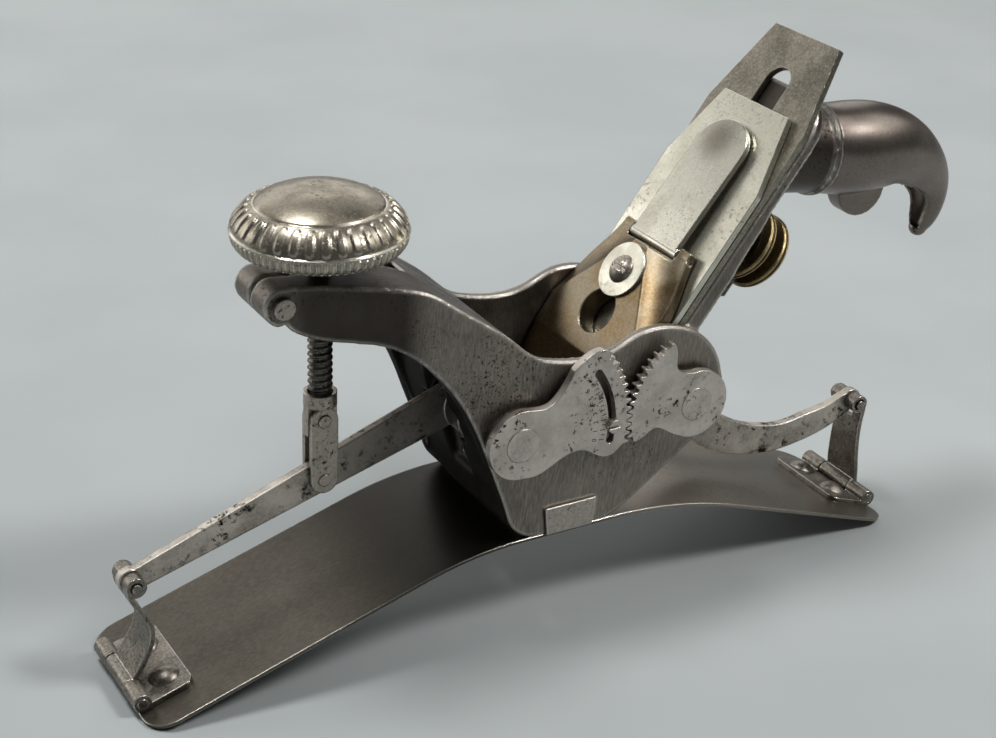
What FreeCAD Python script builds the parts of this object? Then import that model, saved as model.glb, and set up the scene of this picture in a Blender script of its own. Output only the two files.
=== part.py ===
"""Circular plane: a flexible steel sole bowed by a knob, a threaded spindle and two geared levers.

Frame: X runs to the rear (towards the handle), Y to the plane's right, Z up.
The origin lies midway along the sole, at the level of the bench on which its two ends rest.
Lengths are in millimetres.
"""
import FreeCAD, Part
import math
import os
from FreeCAD import Vector, Rotation, Placement

# Overall sizes
sole_front_x = -123.5          # front end of the sole
sole_rear_x = 125.0            # rear end of the sole
sole_width = 50.8
sole_thick = 1.0
sole_corner_r = 8.0            # rounding of the four sole corners, in plan
crown_z = 30.6                 # top of the sole under the body
sole_flat_front_x = -12.0      # the sole stays flat between these two, under the body
sole_flat_rear_x = 16.0
sole_front_bend_r = 105.0      # radius of the bend ahead of the body
sole_rear_bend_r = 140.0
sole_joint_gap = 0.3           # gap between two lengths of the sole
mouth_front_x = -9.0
mouth_length = 7.3
overrun = 5.0                  # how far a cutter passes its work
fit_gap = 0.08                 # radial play of a turning pin or shaft
side_gap = 0.3                 # play beside a moving flank

# Body casting
body_width = sole_width        # the casting is as wide as the sole
cheek_wall = 2.9
front_wall = 4.0
cheek_tail_x = 52.6            # rear end of the cheeks
arm_top_z = 113.4              # top of the arm over the spindle
nose_x = -83.3                 # front of the nose
nose_width = 19.0
nose_kerf = 1.2                # saw cut that lets the nose clamp the spindle

# Pivots of the two levers
front_pivot_x = -16.9
pivot_z = 63.8
pivot_spacing = 57.3
shaft_r = 5.0

# Cutting iron and its bed, in the bed's own frame: t up the iron, h out of its face
bed_angle = 53.2               # degrees from the sole
bed_foot_x = -26.8             # where the iron's face would meet the bench
iron_side_clear = 0.275         # between the iron's edge and a cheek
iron_width = body_width - 2 * (cheek_wall + iron_side_clear)
iron_thick = 2.0
iron_top_t = 196.4
bed_top_t = 182.0
bed_gap = 0.15                 # between the iron and its bed
bed_thick = 3.6

# Spindle and knob
spindle_x = -63.2
spindle_r = 3.42
knob_r = 23.6
knob_rim_z = 119.6             # lower edge of the knob's rim
knob_height = 16.0

# Levers
lever_thick = 2.6
front_lever_end_x = -119.0
rear_lever_end_x = 124.5
lever_end_z = 33.3


def point(x, z, y=0.0):
    return Vector(x, y, z)


def outline(runs, y0=0.0):
    """Closed wire in an XZ plane: a run of two points is a line, a longer one a smooth curve."""
    edges = []
    for k, run in enumerate(runs):
        last = runs[(k + 1) % len(runs)][0]
        pts = [Vector(x, y0, z) for x, z in run] + [Vector(last[0], y0, last[1])]
        if len(pts) == 2:
            edges.append(Part.LineSegment(pts[0], pts[1]).toShape())
        else:
            curve = Part.BSplineCurve()
            curve.interpolate(pts)
            edges.append(curve.toShape())
    return Part.Wire(edges)


def slab(runs, y0, depth):
    """Plate with the given XZ outline, from y0 to y0 + depth."""
    return Part.Face(outline(runs, y0)).extrude(Vector(0, depth, 0))


def plate(points, y0, depth):
    """Plate with straight sides."""
    return slab([[p] for p in points], y0, depth)


def rod(x, z, r, y0, y1):
    """Cylinder along Y."""
    return Part.makeCylinder(r, y1 - y0, Vector(x, y0, z), Vector(0, 1, 0))


def box(x0, x1, y0, y1, z0, z1):
    return Part.makeBox(x1 - x0, y1 - y0, z1 - z0, Vector(x0, y0, z0))


def plan(points, z0, z1):
    """Prism with the given XY outline; runs as in outline()."""
    edges = []
    for k, run in enumerate(points):
        last = points[(k + 1) % len(points)][0]
        pts = [Vector(x, y, z0) for x, y in run] + [Vector(last[0], last[1], z0)]
        if len(pts) == 2:
            edges.append(Part.LineSegment(pts[0], pts[1]).toShape())
        else:
            curve = Part.BSplineCurve()
            curve.interpolate(pts)
            edges.append(curve.toShape())
    return Part.Face(Part.Wire(edges)).extrude(Vector(0, 0, z1 - z0))


def polar(cx, cz, r, degrees):
    a = math.radians(degrees)
    return (cx + r * math.cos(a), cz + r * math.sin(a))


def union(first, *rest):
    return first.fuse(list(rest)).removeSplitter() if rest else first


nodes = {}


# The sole: a spring-steel strip, flat under the body, bent down ahead of it and behind it.
# It flexes, so it is built as five lengths that hinge on each other inside the two bends.
def sole_slope(end_x, flat_x, bend_r):
    """Angle of the straight end so that its lower edge touches the bench."""
    run = abs(end_x - flat_x)
    low, high = 0.0, math.radians(45)
    inner_r = bend_r - sole_thick
    while high - low > 1e-12:
        a = (low + high) / 2
        straight = (run - bend_r * math.sin(a)) / math.cos(a)
        top = crown_z - bend_r * (1 - math.cos(a)) - straight * math.sin(a)
        bottom = top - sole_thick * math.cos(a)
        low, high = (a, high) if bottom > 0 else (low, a)
    return low


class SoleEnd:
    """One bent end of the sole; side is -1 ahead of the body and +1 behind it."""

    def __init__(self, side, end_x, flat_x, bend_r):
        self.side, self.end_x, self.flat_x, self.bend_r = side, end_x, flat_x, bend_r
        self.slope = sole_slope(end_x, flat_x, bend_r)
        self.length = (abs(end_x - flat_x) - bend_r * math.sin(self.slope)) / math.cos(self.slope)

    def at(self, a, depth=0.0, along=0.0):
        """Point on the strip at bend angle a, depth under its top, then along the tangent."""
        r = self.bend_r - depth
        x = r * math.sin(a) + along * math.cos(a)
        z = r * math.cos(a) - self.bend_r - along * math.sin(a)
        return (self.flat_x + self.side * x, crown_z + z)

    def joint(self, share):
        return self.at(self.slope * share, sole_thick / 2)

    def arc(self, a0, a1, depth):
        mid = self.at((a0 + a1) / 2, depth)
        p0, p1 = self.at(a0, depth), self.at(a1, depth)
        return Part.Arc(point(*p0), point(*mid), point(*p1)).toShape()

    def band(self, a0, a1, tail):
        """Length of the strip from bend angle a0 to a1, with a straight tail after a1."""
        half = sole_width / 2
        wire = [self.arc(a0, a1, 0)]
        p = [self.at(a1, 0), self.at(a1, 0, tail), self.at(a1, sole_thick, tail), self.at(a1, sole_thick)]
        if tail:
            for q0, q1 in zip(p, p[1:]):
                wire.append(Part.LineSegment(point(*q0), point(*q1)).toShape())
        else:
            wire.append(Part.LineSegment(point(*p[0]), point(*p[3])).toShape())
        wire.append(self.arc(a1, a0, sole_thick))
        wire.append(Part.LineSegment(point(*self.at(a0, sole_thick)), point(*self.at(a0, 0))).toShape())
        face = Part.Face(Part.Wire(wire))
        face.translate(Vector(0, -half, 0))
        return face.extrude(Vector(0, sole_width, 0))


bend_joint_shares = (0.25, 0.75)     # of the bend's angle: where the strip's lengths hinge
front_end = SoleEnd(-1, sole_front_x, sole_flat_front_x, sole_front_bend_r)
rear_end = SoleEnd(1, sole_rear_x, sole_flat_rear_x, sole_rear_bend_r)
half_width = sole_width / 2


def sole_parts(end):
    gap_angle = sole_joint_gap / 2 / end.bend_r
    a1, a2 = (end.slope * s for s in bend_joint_shares)
    root = end.band(0, a1 - gap_angle, 0)
    middle = end.band(a1 + gap_angle, a2 - gap_angle, 0)
    tip = end.band(a2 + gap_angle, end.slope, end.length)
    x = end.end_x - end.side * sole_corner_r
    corner = []
    for y in (-1, 1):
        block = box(min(x, end.end_x + end.side * overrun), max(x, end.end_x + end.side * overrun),
                    min(y * half_width - y * sole_corner_r, y * (half_width + overrun)),
                    max(y * half_width - y * sole_corner_r, y * (half_width + overrun)),
                    -overrun, crown_z)
        post = Part.makeCylinder(sole_corner_r, crown_z + 2 * overrun,
                                 Vector(x, y * (half_width - sole_corner_r), -overrun))
        corner.append(block.cut(post))
    return root, middle, tip.cut(corner)


front_root, front_middle, front_tip = sole_parts(front_end)
rear_root, rear_middle, rear_tip = sole_parts(rear_end)
sole_flat = box(sole_flat_front_x, sole_flat_rear_x, -half_width, half_width, crown_z - sole_thick, crown_z)
mouth = box(mouth_front_x, mouth_front_x + mouth_length, -body_width / 2 + cheek_wall, body_width / 2 - cheek_wall,
            crown_z - sole_thick - overrun, crown_z + overrun)
nodes["sole_middle"] = union(sole_flat, front_root, rear_root).cut(mouth)
nodes["sole_front_bend"] = front_middle
nodes["sole_rear_bend"] = rear_middle

# Hinge on each end of the sole: a leaf with two outer knuckles, two domed rivets and a pin
hinge_width = 31.0
knuckle_r = 2.6
hinge_pin_r = 1.5
leaf_thick = 1.6
leaf_length = 15.0
leaf_corner_r = 3.0
knuckle_share = 0.27           # of the hinge width, for each outer knuckle
hinge_inset = 2.0              # hinge pin, in from the end of the sole
rivet_r = 4.4
rivet_height = 2.2
rivet_back = 9.0               # rivets, in from the hinge pin
rivet_spacing = 15.5
rivet_shank_r = 2.0
shackle_thick = 1.4
shackle_top_width = 11.0
eye_r = 2.9
end_pin_r = 1.4
end_pin_head_r = 2.3
end_pin_plays = {"front": 0.3, "rear": 0.55}   # the opened pivots at the levers' ends
neck_drop = 2.2                # foot of the strap's slot, below the lever's round end
lever_end_r = 3.5
lever_slot_half = lever_thick / 2 + side_gap
eye_width = shackle_top_width / 2 - lever_slot_half
# Middle of each strap, as shares of the distance between its two pins: rearwards, then upwards
strap_shares = {"front": [(0.007, 0.027), (0.056, 0.125), (0.146, 0.320), (0.179, 0.484), (0.164, 0.585), (0.084, 0.713),
                          (0.020, 0.798), (-0.038, 0.883), (-0.066, 0.964)],
                "rear": [(0.060, 0.0), (0.041, 0.239), (0.027, 0.479), (0.038, 0.718), (0.062, 0.889), (0.070, 0.985)]}


def hinge_frame(end):
    """Placement of a hinge: local X runs out along the strip, local Z out of it."""
    c = end.at(end.slope, 0, end.length - hinge_inset)
    turn = math.degrees(end.slope) * end.side
    spin = Rotation(Vector(0, 1, 0), turn) * (Rotation() if end.side > 0 else Rotation(Vector(0, 0, 1), 180))
    return Placement(Vector(c[0], 0, c[1]), spin)


def place(shape, frame):
    out = shape.copy()
    out.Placement = frame.multiply(out.Placement)
    return out


def leaf_shape():
    w = hinge_width
    flat = box(-leaf_length, 0, -w / 2, w / 2, 0, leaf_thick)
    edges = [e for e in flat.Edges if abs(e.Vertexes[0].X + leaf_length) < leaf_thick / 4
             and abs(e.Vertexes[1].X + leaf_length) < leaf_thick / 4 and abs(e.Vertexes[0].Y - e.Vertexes[1].Y) < leaf_thick / 4]
    flat = flat.makeFillet(leaf_corner_r, edges)
    k = knuckle_share * w
    barrel = [rod(0, knuckle_r, knuckle_r, -w / 2, -w / 2 + k), rod(0, knuckle_r, knuckle_r, w / 2 - k, w / 2)]
    middle = box(-knuckle_r - side_gap, overrun, -w / 2 + k, w / 2 - k, -overrun, knuckle_r * 2 + overrun)
    pin_hole = rod(0, knuckle_r, hinge_pin_r, -w, w)
    return union(flat, *barrel).cut([middle, pin_hole])


def rivets_shape():
    dome_r = (rivet_r ** 2 + rivet_height ** 2) / (2 * rivet_height)
    out = []
    for y in (-rivet_spacing / 2, rivet_spacing / 2):
        ball = Part.makeSphere(dome_r, Vector(-rivet_back, y, leaf_thick + rivet_height - dome_r))
        cap = Part.makeCylinder(rivet_r, rivet_height + dome_r, Vector(-rivet_back, y, leaf_thick))
        out.append(union(ball.common(cap), rivet_shank(y, rivet_shank_r)))
    return out


def rivet_shank(y, r):
    return Part.makeCylinder(r, sole_thick + leaf_thick, Vector(-rivet_back, y, -sole_thick))


def bent_strip(middle, thick, width):
    """Strip of even thickness that follows a smooth line in the XZ plane."""
    sides = ([], [])
    for k, (x, z) in enumerate(middle):
        (x0, z0), (x1, z1) = middle[max(k - 1, 0)], middle[min(k + 1, len(middle) - 1)]
        run = math.hypot(x1 - x0, z1 - z0)
        for side, sign in zip(sides, (-1, 1)):
            side.append((x - sign * (z1 - z0) / run * thick / 2, z + sign * (x1 - x0) / run * thick / 2))
    back = list(reversed(sides[1]))
    return slab([sides[0][:-1], sides[0][-1:], back[:-1], back[-1:]], -width / 2, width)


def shackle_shape(name, pin_x, pin_z, top, play):
    """Bent strap from the hinge pin to the lever's end pin, slotted above for the lever."""
    w = hinge_width * (1 - 2 * knuckle_share) - 2 * side_gap
    (hx, hz), (ex, ez) = (pin_x, pin_z), top
    length = math.hypot(ex - hx, ez - hz)
    angle = math.degrees(math.atan2(ex - hx, ez - hz))
    strap = bent_strip([(a * length, b * length) for a, b in strap_shares[name]], shackle_thick, w)
    neck_z = length - lever_end_r - neck_drop
    taper = []
    for s in (-1, 1):
        edge = [(neck_z, s * shackle_top_width / 2), (2 * length, s * shackle_top_width / 2), (2 * length, s * w), (eye_r * 2, s * w),
                (eye_r * 2, s * w / 2)]
        taper.append(Part.Face(Part.makePolygon([Vector(-length, y, z) for z, y in edge + edge[:1]])).extrude(
            Vector(2 * length, 0, 0)))
    strap = strap.cut(taper)
    body = union(strap, rod(0, 0, knuckle_r - fit_gap * 2, -w / 2, w / 2),
                 rod(0, length, eye_r, -shackle_top_width / 2, shackle_top_width / 2))
    body = body.cut([
        box(-length, length, -lever_slot_half, lever_slot_half, neck_z, 2 * length),
        rod(0, 0, hinge_pin_r + fit_gap, -w, w), rod(0, length, end_pin_r + play, -w, w)])
    body.rotate(Vector(0, 0, 0), Vector(0, 1, 0), angle)
    body.translate(Vector(hx, 0, hz))
    return body


hinge_points = {}
for name, end, tip in (("front", front_end, front_tip), ("rear", rear_end, rear_tip)):
    frame = hinge_frame(end)
    holes = [place(rivet_shank(y, rivet_shank_r), frame) for y in (-rivet_spacing / 2, rivet_spacing / 2)]
    nodes["sole_%s_end" % name] = tip.cut(holes)
    nodes["%s_hinge_leaf" % name] = place(leaf_shape(), frame).cut(holes)
    nodes["%s_hinge_rivets" % name] = Part.makeCompound([place(r, frame) for r in rivets_shape()])
    nodes["%s_hinge_pin" % name] = place(rod(0, knuckle_r, hinge_pin_r, -hinge_width / 2 - fit_gap, hinge_width / 2 + fit_gap), frame)
    c = frame.multVec(Vector(0, 0, knuckle_r))
    hinge_points[name] = (c.x, c.z)
    lever_x = front_lever_end_x if name == "front" else rear_lever_end_x
    nodes["%s_shackle" % name] = shackle_shape(name, c.x, c.z, (lever_x, lever_end_z), end_pin_plays[name])
    pin_half = shackle_top_width / 2
    head = shackle_thick / 2
    nodes["%s_lever_end_pin" % name] = union(
        rod(lever_x, lever_end_z, end_pin_r, -pin_half - head, pin_half + head),
        rod(lever_x, lever_end_z, end_pin_head_r, pin_half + side_gap, pin_half + side_gap + head))

# Body casting: two cheeks that close to a nose ahead, a front wall between them, and the iron's bed
half_body = body_width / 2
inner_half = half_body - cheek_wall
rear_pivot_x = front_pivot_x + pivot_spacing
reach_share = 1.0444
reach = -nose_x * reach_share   # length that the arm's outline follows
rise = arm_top_z - crown_z      # height of the casting over the sole
tail = cheek_tail_x
arm_under_shares = [(-0.888, 0.877), (-0.867, 0.850), (-0.840, 0.831), (-0.799, 0.814), (-0.753, 0.804), (-0.69, 0.799),
                    (-0.63, 0.793), (-0.575, 0.772), (-0.485, 0.70), (-0.359, 0.512), (-0.279, 0.307), (-0.226, 0.159)]
toe_shares = [(-0.207, 0.096), (-0.180, 0.046), (-0.138, 0.012), (-0.100, 0.0)]
tail_under_shares = [(0.27, 0.0), (0.38, 0.03), (0.52, 0.085), (0.66, 0.15), (0.80, 0.215), (0.93, 0.30), (1.0, 0.40)]
tail_top_shares = [(0.985, 0.47), (0.93, 0.56), (0.80, 0.645), (0.66, 0.682), (0.53, 0.695), (0.41, 0.683),
                   (0.30, 0.652), (0.15, 0.633), (0.0, 0.640)]
arm_top_shares = [(-0.09, 0.662), (-0.15, 0.698), (-0.21, 0.756), (-0.31, 0.836), (-0.41, 0.91), (-0.49, 0.965),
                  (-0.57, 0.985), (-0.66, 0.992)]
nose_r = 5.3
nose_z = arm_top_z - nose_r


def shares(table, width):
    return [(a * width, crown_z + b * rise) for a, b in table]


side_runs = [
    [(nose_x + nose_r, arm_top_z), polar(nose_x + nose_r, nose_z, nose_r, 135), (nose_x, nose_z),
     polar(nose_x + nose_r, nose_z, nose_r, 225), polar(nose_x + nose_r, nose_z, nose_r, 265)],
    shares(arm_under_shares, reach),
    shares(toe_shares, reach)[:-1],
    shares(toe_shares, reach)[-1:],
    shares(tail_under_shares, tail),
    shares(tail_top_shares, tail),
    shares(arm_top_shares, reach),
]
side_body = slab(side_runs, -half_body, body_width)

arm_plan_shares = [(-0.26, 1.0), (-0.40, 0.96), (-0.52, 0.87), (-0.64, 0.70), (-0.75, 0.50), (-0.81, 0.41), (-0.85, 0.374)]
nose_half = nose_width / 2


def mirrored_plan(curve, start_x, end_pts):
    right = curve
    left = [(x, -y) for x, y in reversed(curve)]
    return right, left


outer = [(a * reach, b * half_body) for a, b in arm_plan_shares]
outer[-1] = (outer[-1][0], nose_half)
tail_x = tail + overrun
outer_prism = plan([
    [(tail_x, half_body)], outer[:-1], [outer[-1]], [(nose_x - overrun, nose_half)], [(nose_x - overrun, -nose_half)],
    [(x, -y) for x, y in reversed(outer)][:-1], [(outer[0][0], -outer[0][1])], [(tail_x, -half_body)]],
    0, arm_top_z + overrun)
inner_plan_shares = [(-0.20, 1.0), (-0.34, 0.88), (-0.46, 0.60), (-0.56, 0.28), (-0.62, 0.09)]
inner = [(a * reach, b * inner_half) for a, b in inner_plan_shares]
cavity_plan = plan([
    [(tail_x, inner_half)], inner, [(x, -y) for x, y in reversed(inner)][:-1], [(inner[0][0], -inner[0][1])],
    [(tail_x, -inner_half)]],
    0, arm_top_z + overrun)
wall_in_shares = [(-0.205, 0.770), (-0.215, 0.66), (-0.235, 0.55), (-0.235, 0.42), (-0.205, 0.26), (-0.165, 0.12), (-0.135, 0.0)]
web_edge_x = wall_in_shares[0][0] * reach
cavity_side = slab([
    shares(wall_in_shares, reach)[:-1], shares(wall_in_shares, reach)[-1:], [(wall_in_shares[-1][0] * reach, 0)], [(tail_x, 0)],
    [(tail_x, arm_top_z + overrun)], [(web_edge_x, arm_top_z + overrun)]], -half_body, body_width)
casting = side_body.common(outer_prism).cut(cavity_plan.common(cavity_side))

# The arm is a channel, open below: the web on top runs back to the throat, and the wall closes its rear
web_thick = 3.4
channel_front_x = -54.5
channel_plan_shares = [(-0.20, 1.0), (-0.34, 0.90), (-0.48, 0.70), (-0.57, 0.50), (-0.61, 0.36)]
channel_wall_shares = [(-0.31, 0.72), (-0.345, 0.60), (-0.325, 0.49), (-0.245, 0.25), (-0.19, 0.09)]
channel = [(a * reach, b * inner_half) for a, b in channel_plan_shares]
channel_plan = plan([channel[:-1], [channel[-1]], [(channel_front_x, channel[-1][1])], [(channel_front_x, -channel[-1][1])],
                     [(channel[-1][0], -channel[-1][1])] + [(x, -y) for x, y in reversed(channel[:-1])][:-1],
                     [(channel[0][0], -channel[0][1])]], crown_z / 2, arm_top_z)
web_under = [(x, z - web_thick) for x, z in shares(arm_top_shares, reach)[2:]]
channel_side = slab([web_under[:-1], web_under[-1:], [(channel_front_x, web_under[-1][1])], [(channel_front_x, crown_z / 2)],
                     [(channel_wall_shares[-1][0] * reach, crown_z / 2)],
                     list(reversed(shares(channel_wall_shares, reach)))[:-1],
                     [shares(channel_wall_shares, reach)[0]]], -half_body, body_width)
casting = casting.cut(channel_plan.common(channel_side))

# Opening in the front wall for the front lever
lever_door_clear = 4.4          # beside the lever, in the wall's opening
lever_door_half = lever_thick / 2 + lever_door_clear
door_low_share, door_high_share = 0.16, 0.66
door = box(nose_x * 0.5, front_pivot_x + shaft_r, -lever_door_half, lever_door_half,
           crown_z + door_low_share * rise, crown_z + door_high_share * rise)
hub_r = 8.6                    # hubs of the two levers
hub_half = 9.0
hub_room = 0.8
casting = casting.cut([door, rod(front_pivot_x, pivot_z, hub_r + hub_room, -hub_half - hub_room, hub_half + hub_room)])

# Small three-cornered hole through the web, behind the spindle's boss
eye_front_x, eye_rear_x, eye_half = -51.5, -40.8, 4.4
eye_corner_r, eye_tip_r = 1.6, 1.2
eye_low_share = 0.84
web_eye = plan([[(eye_front_x, -eye_tip_r), (eye_front_x - eye_tip_r, 0)], [(eye_front_x, eye_tip_r)],
                [(eye_rear_x - eye_corner_r, eye_half), (eye_rear_x - eye_corner_r / 4, eye_half - eye_corner_r / 3)],
                [(eye_rear_x, eye_half - eye_corner_r)],
                [(eye_rear_x, -eye_half + eye_corner_r), (eye_rear_x - eye_corner_r / 4, -eye_half + eye_corner_r / 3)],
                [(eye_rear_x - eye_corner_r, -eye_half)]],
               crown_z + rise * eye_low_share, arm_top_z + overrun)
casting = casting.cut(web_eye)

# Bed of the iron, in its own frame, carried between the cheeks and reaching up behind them
BED = Placement(Vector(bed_foot_x, 0, 0), Rotation(Vector(0, 1, 0), -bed_angle))


def seat(shape):
    return place(shape, BED)


def bed_point(t, h, y=0.0):
    return BED.multVec(Vector(t, y, h))


def bed_t(z, h):
    """Distance up the bed at which a line at height h reaches the level z."""
    a = math.radians(bed_angle)
    return (z - h * math.cos(a)) / math.sin(a)


bed_face_h = -iron_thick - bed_gap
bed_half = inner_half
bed_corner_r = 13.0
flange_depth = 5.2
flange_wall = 3.2
block_top_z = crown_z + 8.4
bed_low_t = bed_t(block_top_z, bed_face_h) - overrun * 2
cheek_overlap = cheek_wall / 2
bed_plate = box(bed_low_t, bed_top_t, -bed_half, bed_half, bed_face_h - bed_thick, bed_face_h)
round_edges = [e for e in bed_plate.Edges if abs(e.Vertexes[0].X - bed_top_t) < fit_gap and abs(e.Vertexes[1].X - bed_top_t) < fit_gap
               and abs(e.Vertexes[0].Y - e.Vertexes[1].Y) < fit_gap]
bed_plate = bed_plate.makeFillet(bed_corner_r, round_edges)
flange_top_t = bed_top_t - bed_corner_r * 2.2
flanges = []
for s in (-1, 1):
    y0 = bed_half - flange_wall if s > 0 else -bed_half
    flanges.append(slab([[(bed_low_t, bed_face_h - bed_thick / 2)], [(bed_low_t, bed_face_h - flange_depth)],
                         [(bed_top_t - bed_corner_r * 4.2, bed_face_h - flange_depth),
                          (bed_top_t - bed_corner_r * 3.2, bed_face_h - flange_depth * 0.85),
                          (flange_top_t - bed_corner_r * 0.4, bed_face_h - bed_thick)],
                         [(flange_top_t, bed_face_h - bed_thick / 2)]], y0, flange_wall))

# Round seat for the handle at the top of the bed, and a boss for the adjusting stud below it
handle_x, handle_z = 97.4, 122.6
handle_seat_r = 14.2
handle_tilt = 8.0              # degrees by which the seat's axis points down
handle_dir = Vector(math.cos(math.radians(handle_tilt)), 0, -math.sin(math.radians(handle_tilt)))
seat_back = 26.0
handle_c = Vector(handle_x, 0, handle_z)
seat_lip = 2.2                 # the seat ends in a lip a little wider than the boss behind it
handle_boss = union(Part.makeCylinder(handle_seat_r - 0.9, seat_back, handle_c - handle_dir * seat_back, handle_dir),
                    Part.makeCylinder(handle_seat_r, seat_lip, handle_c - handle_dir * seat_lip, handle_dir))
in_front = seat(box(0, iron_top_t + overrun * 4, -body_width, body_width, bed_face_h, bed_face_h + seat_back * 2))
above_bed = seat(box(bed_top_t, iron_top_t + overrun * 8, -body_width, body_width, -seat_back * 2, seat_back))
handle_boss = handle_boss.cut([in_front])

stud_t, stud_r = 138.1, 3.2
nut_h, nut_r, nut_thick = -26.6, 12.0, 9.4
nut_boss_gap = 1.8
stud_boss_r = 7.0
stud_boss_h = nut_h + nut_thick / 2 + nut_boss_gap
stud_boss = Part.makeCylinder(stud_boss_r, bed_face_h - bed_thick / 2 - stud_boss_h, Vector(stud_t, 0, stud_boss_h))

yoke_t, yoke_h = 124.0, -13.0
yoke_thick = 5.0
yoke_pin_r = 1.5
ear_wall = 3.0
ear_r = 4.2
ears = []
for s in (-1, 1):
    y0 = yoke_thick / 2 + side_gap if s > 0 else -yoke_thick / 2 - side_gap - ear_wall
    ears.append(union(rod(yoke_t, yoke_h, ear_r, y0, y0 + ear_wall),
                      box(yoke_t - ear_r, yoke_t + ear_r, y0, y0 + ear_wall, yoke_h, bed_face_h - bed_thick / 2)))

bed = union(seat(bed_plate), *[seat(f) for f in flanges + [stud_boss] + ears])
bed = union(bed, handle_boss)
below = box(bed_foot_x - sole_width, sole_rear_x, -body_width, body_width, -sole_width, block_top_z)
bed = bed.cut(below)
casting = union(casting, bed)

# Openings in the bed: lever-cap screw, yoke, cap-iron screw head, handle screw, adjusting stud
cap_screw_t, cap_screw_r = 111.5, 3.0
chip_screw_t, chip_screw_head_r = 80.0, 5.8
chip_head_thick = 2.0
slide_travel = 1.6
yoke_slot = 3.4
handle_screw_r = 3.0
handle_screw_head_r = 6.0
pocket_back = 9.0              # floor of the screw's pocket, behind the handle's seat
cutters = [
    Part.makeCylinder(cap_screw_r, seat_back, Vector(cap_screw_t, 0, -seat_back / 2)),
    box(yoke_t - yoke_slot, yoke_t + yoke_slot, -yoke_thick / 2 - side_gap, yoke_thick / 2 + side_gap,
        bed_face_h - bed_thick - overrun, bed_face_h + overrun),
    box(chip_screw_t - chip_screw_head_r - slide_travel * 2, chip_screw_t + chip_screw_head_r + slide_travel * 2,
        -chip_screw_head_r - side_gap * 2, chip_screw_head_r + side_gap * 2,
        bed_face_h - chip_head_thick - side_gap * 2, bed_face_h + overrun),
    Part.makeCylinder(stud_r, seat_back, Vector(stud_t, 0, stud_boss_h - overrun)),
    rod(yoke_t, yoke_h, yoke_pin_r, -body_width / 4, body_width / 4),
]
casting = casting.cut([seat(c) for c in cutters])
handle_screw_axis = -handle_dir
screw_start = handle_c - handle_dir * (seat_back / 2)
# The handle screw enters square to its seat from a pocket in the bed's face
casting = casting.cut([
    Part.makeCylinder(handle_screw_r, seat_back * 2, handle_c - handle_dir * seat_back, handle_dir),
    Part.makeCylinder(handle_screw_head_r + side_gap, seat_back, handle_c - handle_dir * (seat_back + pocket_back),
                      handle_dir)])

# Gearing of the two toothed quadrants, which stand off the near cheek on two low bosses
quadrant_thick = 2.4
quadrant_gap = 2.2
boss_clear = 0.6
pivot_boss_r = 8.0
front_teeth_full, rear_teeth_full = 84, 56
module = 2 * pivot_spacing / (front_teeth_full + rear_teeth_full)
front_pitch_r = module * front_teeth_full / 2
rear_pitch_r = module * rear_teeth_full / 2
casting = union(casting, *[rod(x, pivot_z, pivot_boss_r, boss_clear - half_body - quadrant_gap, -half_body)
                           for x in (front_pivot_x, rear_pivot_x)])

# Bores for the two lever shafts, the spindle, the nose screw and the quadrant's index screw
index_r_share = 0.832
index_r_on_quadrant = front_pitch_r * index_r_share
index_x, index_z = front_pivot_x + index_r_on_quadrant, pivot_z
index_shank_r = 1.1
nose_screw_x, nose_screw_z = nose_x + nose_r, nose_z
nose_screw_r = 1.9
nose_head_r = 2.9
spindle_boss_r = 8.2
kerf = box(nose_x - overrun, spindle_x, -nose_kerf / 2, nose_kerf / 2, 0, arm_top_z + overrun)
casting = casting.cut([
    rod(front_pivot_x, pivot_z, shaft_r + fit_gap, -body_width, body_width),
    rod(rear_pivot_x, pivot_z, shaft_r + fit_gap, -body_width, body_width),
    rod(index_x, index_z, index_shank_r, -body_width, 0),
    Part.makeCylinder(spindle_r + fit_gap, arm_top_z, Vector(spindle_x, 0, crown_z)),
    rod(nose_screw_x, nose_screw_z, nose_screw_r, -body_width, body_width),
    kerf])

# Dovetail block: riveted to the sole, slid across the casting from the side, cut back for the iron
block_front_x, block_rear_x = -6.0, 10.6
dovetail_flare = 0.9
block_proud = 0.8
block_half = half_body + block_proud
block_play = 0.05
block_runs = [(block_front_x + dovetail_flare, crown_z), (block_rear_x - dovetail_flare, crown_z),
              (block_rear_x, block_top_z), (block_front_x, block_top_z)]
block = plate(block_runs, -block_half, block_half + half_body)
iron_way = seat(box(0, iron_top_t, -inner_half, inner_half, bed_face_h, seat_back * 2))
block = block.cut(iron_way)
notch_runs = [(block_front_x + dovetail_flare - block_play, crown_z - overrun), (block_rear_x - dovetail_flare + block_play, crown_z - overrun),
              (block_rear_x - dovetail_flare + block_play, crown_z), (block_rear_x + block_play, block_top_z),
              (block_front_x - block_play, block_top_z), (block_front_x + dovetail_flare - block_play, crown_z)]
casting = casting.cut(plate(notch_runs, -body_width, 2 * body_width))
nodes["body_casting"] = casting
nodes["dovetail_block"] = block

# Nose screw, which draws the split nose onto the spindle
screw_head_thick = 1.6
nodes["nose_clamp_screw"] = union(
    rod(nose_screw_x, nose_screw_z, nose_screw_r, -nose_half - screw_head_thick, nose_half + screw_head_thick),
    rod(nose_screw_x, nose_screw_z, nose_head_r, -nose_half - screw_head_thick, -nose_half),
    rod(nose_screw_x, nose_screw_z, nose_head_r, nose_half, nose_half + screw_head_thick))

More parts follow.
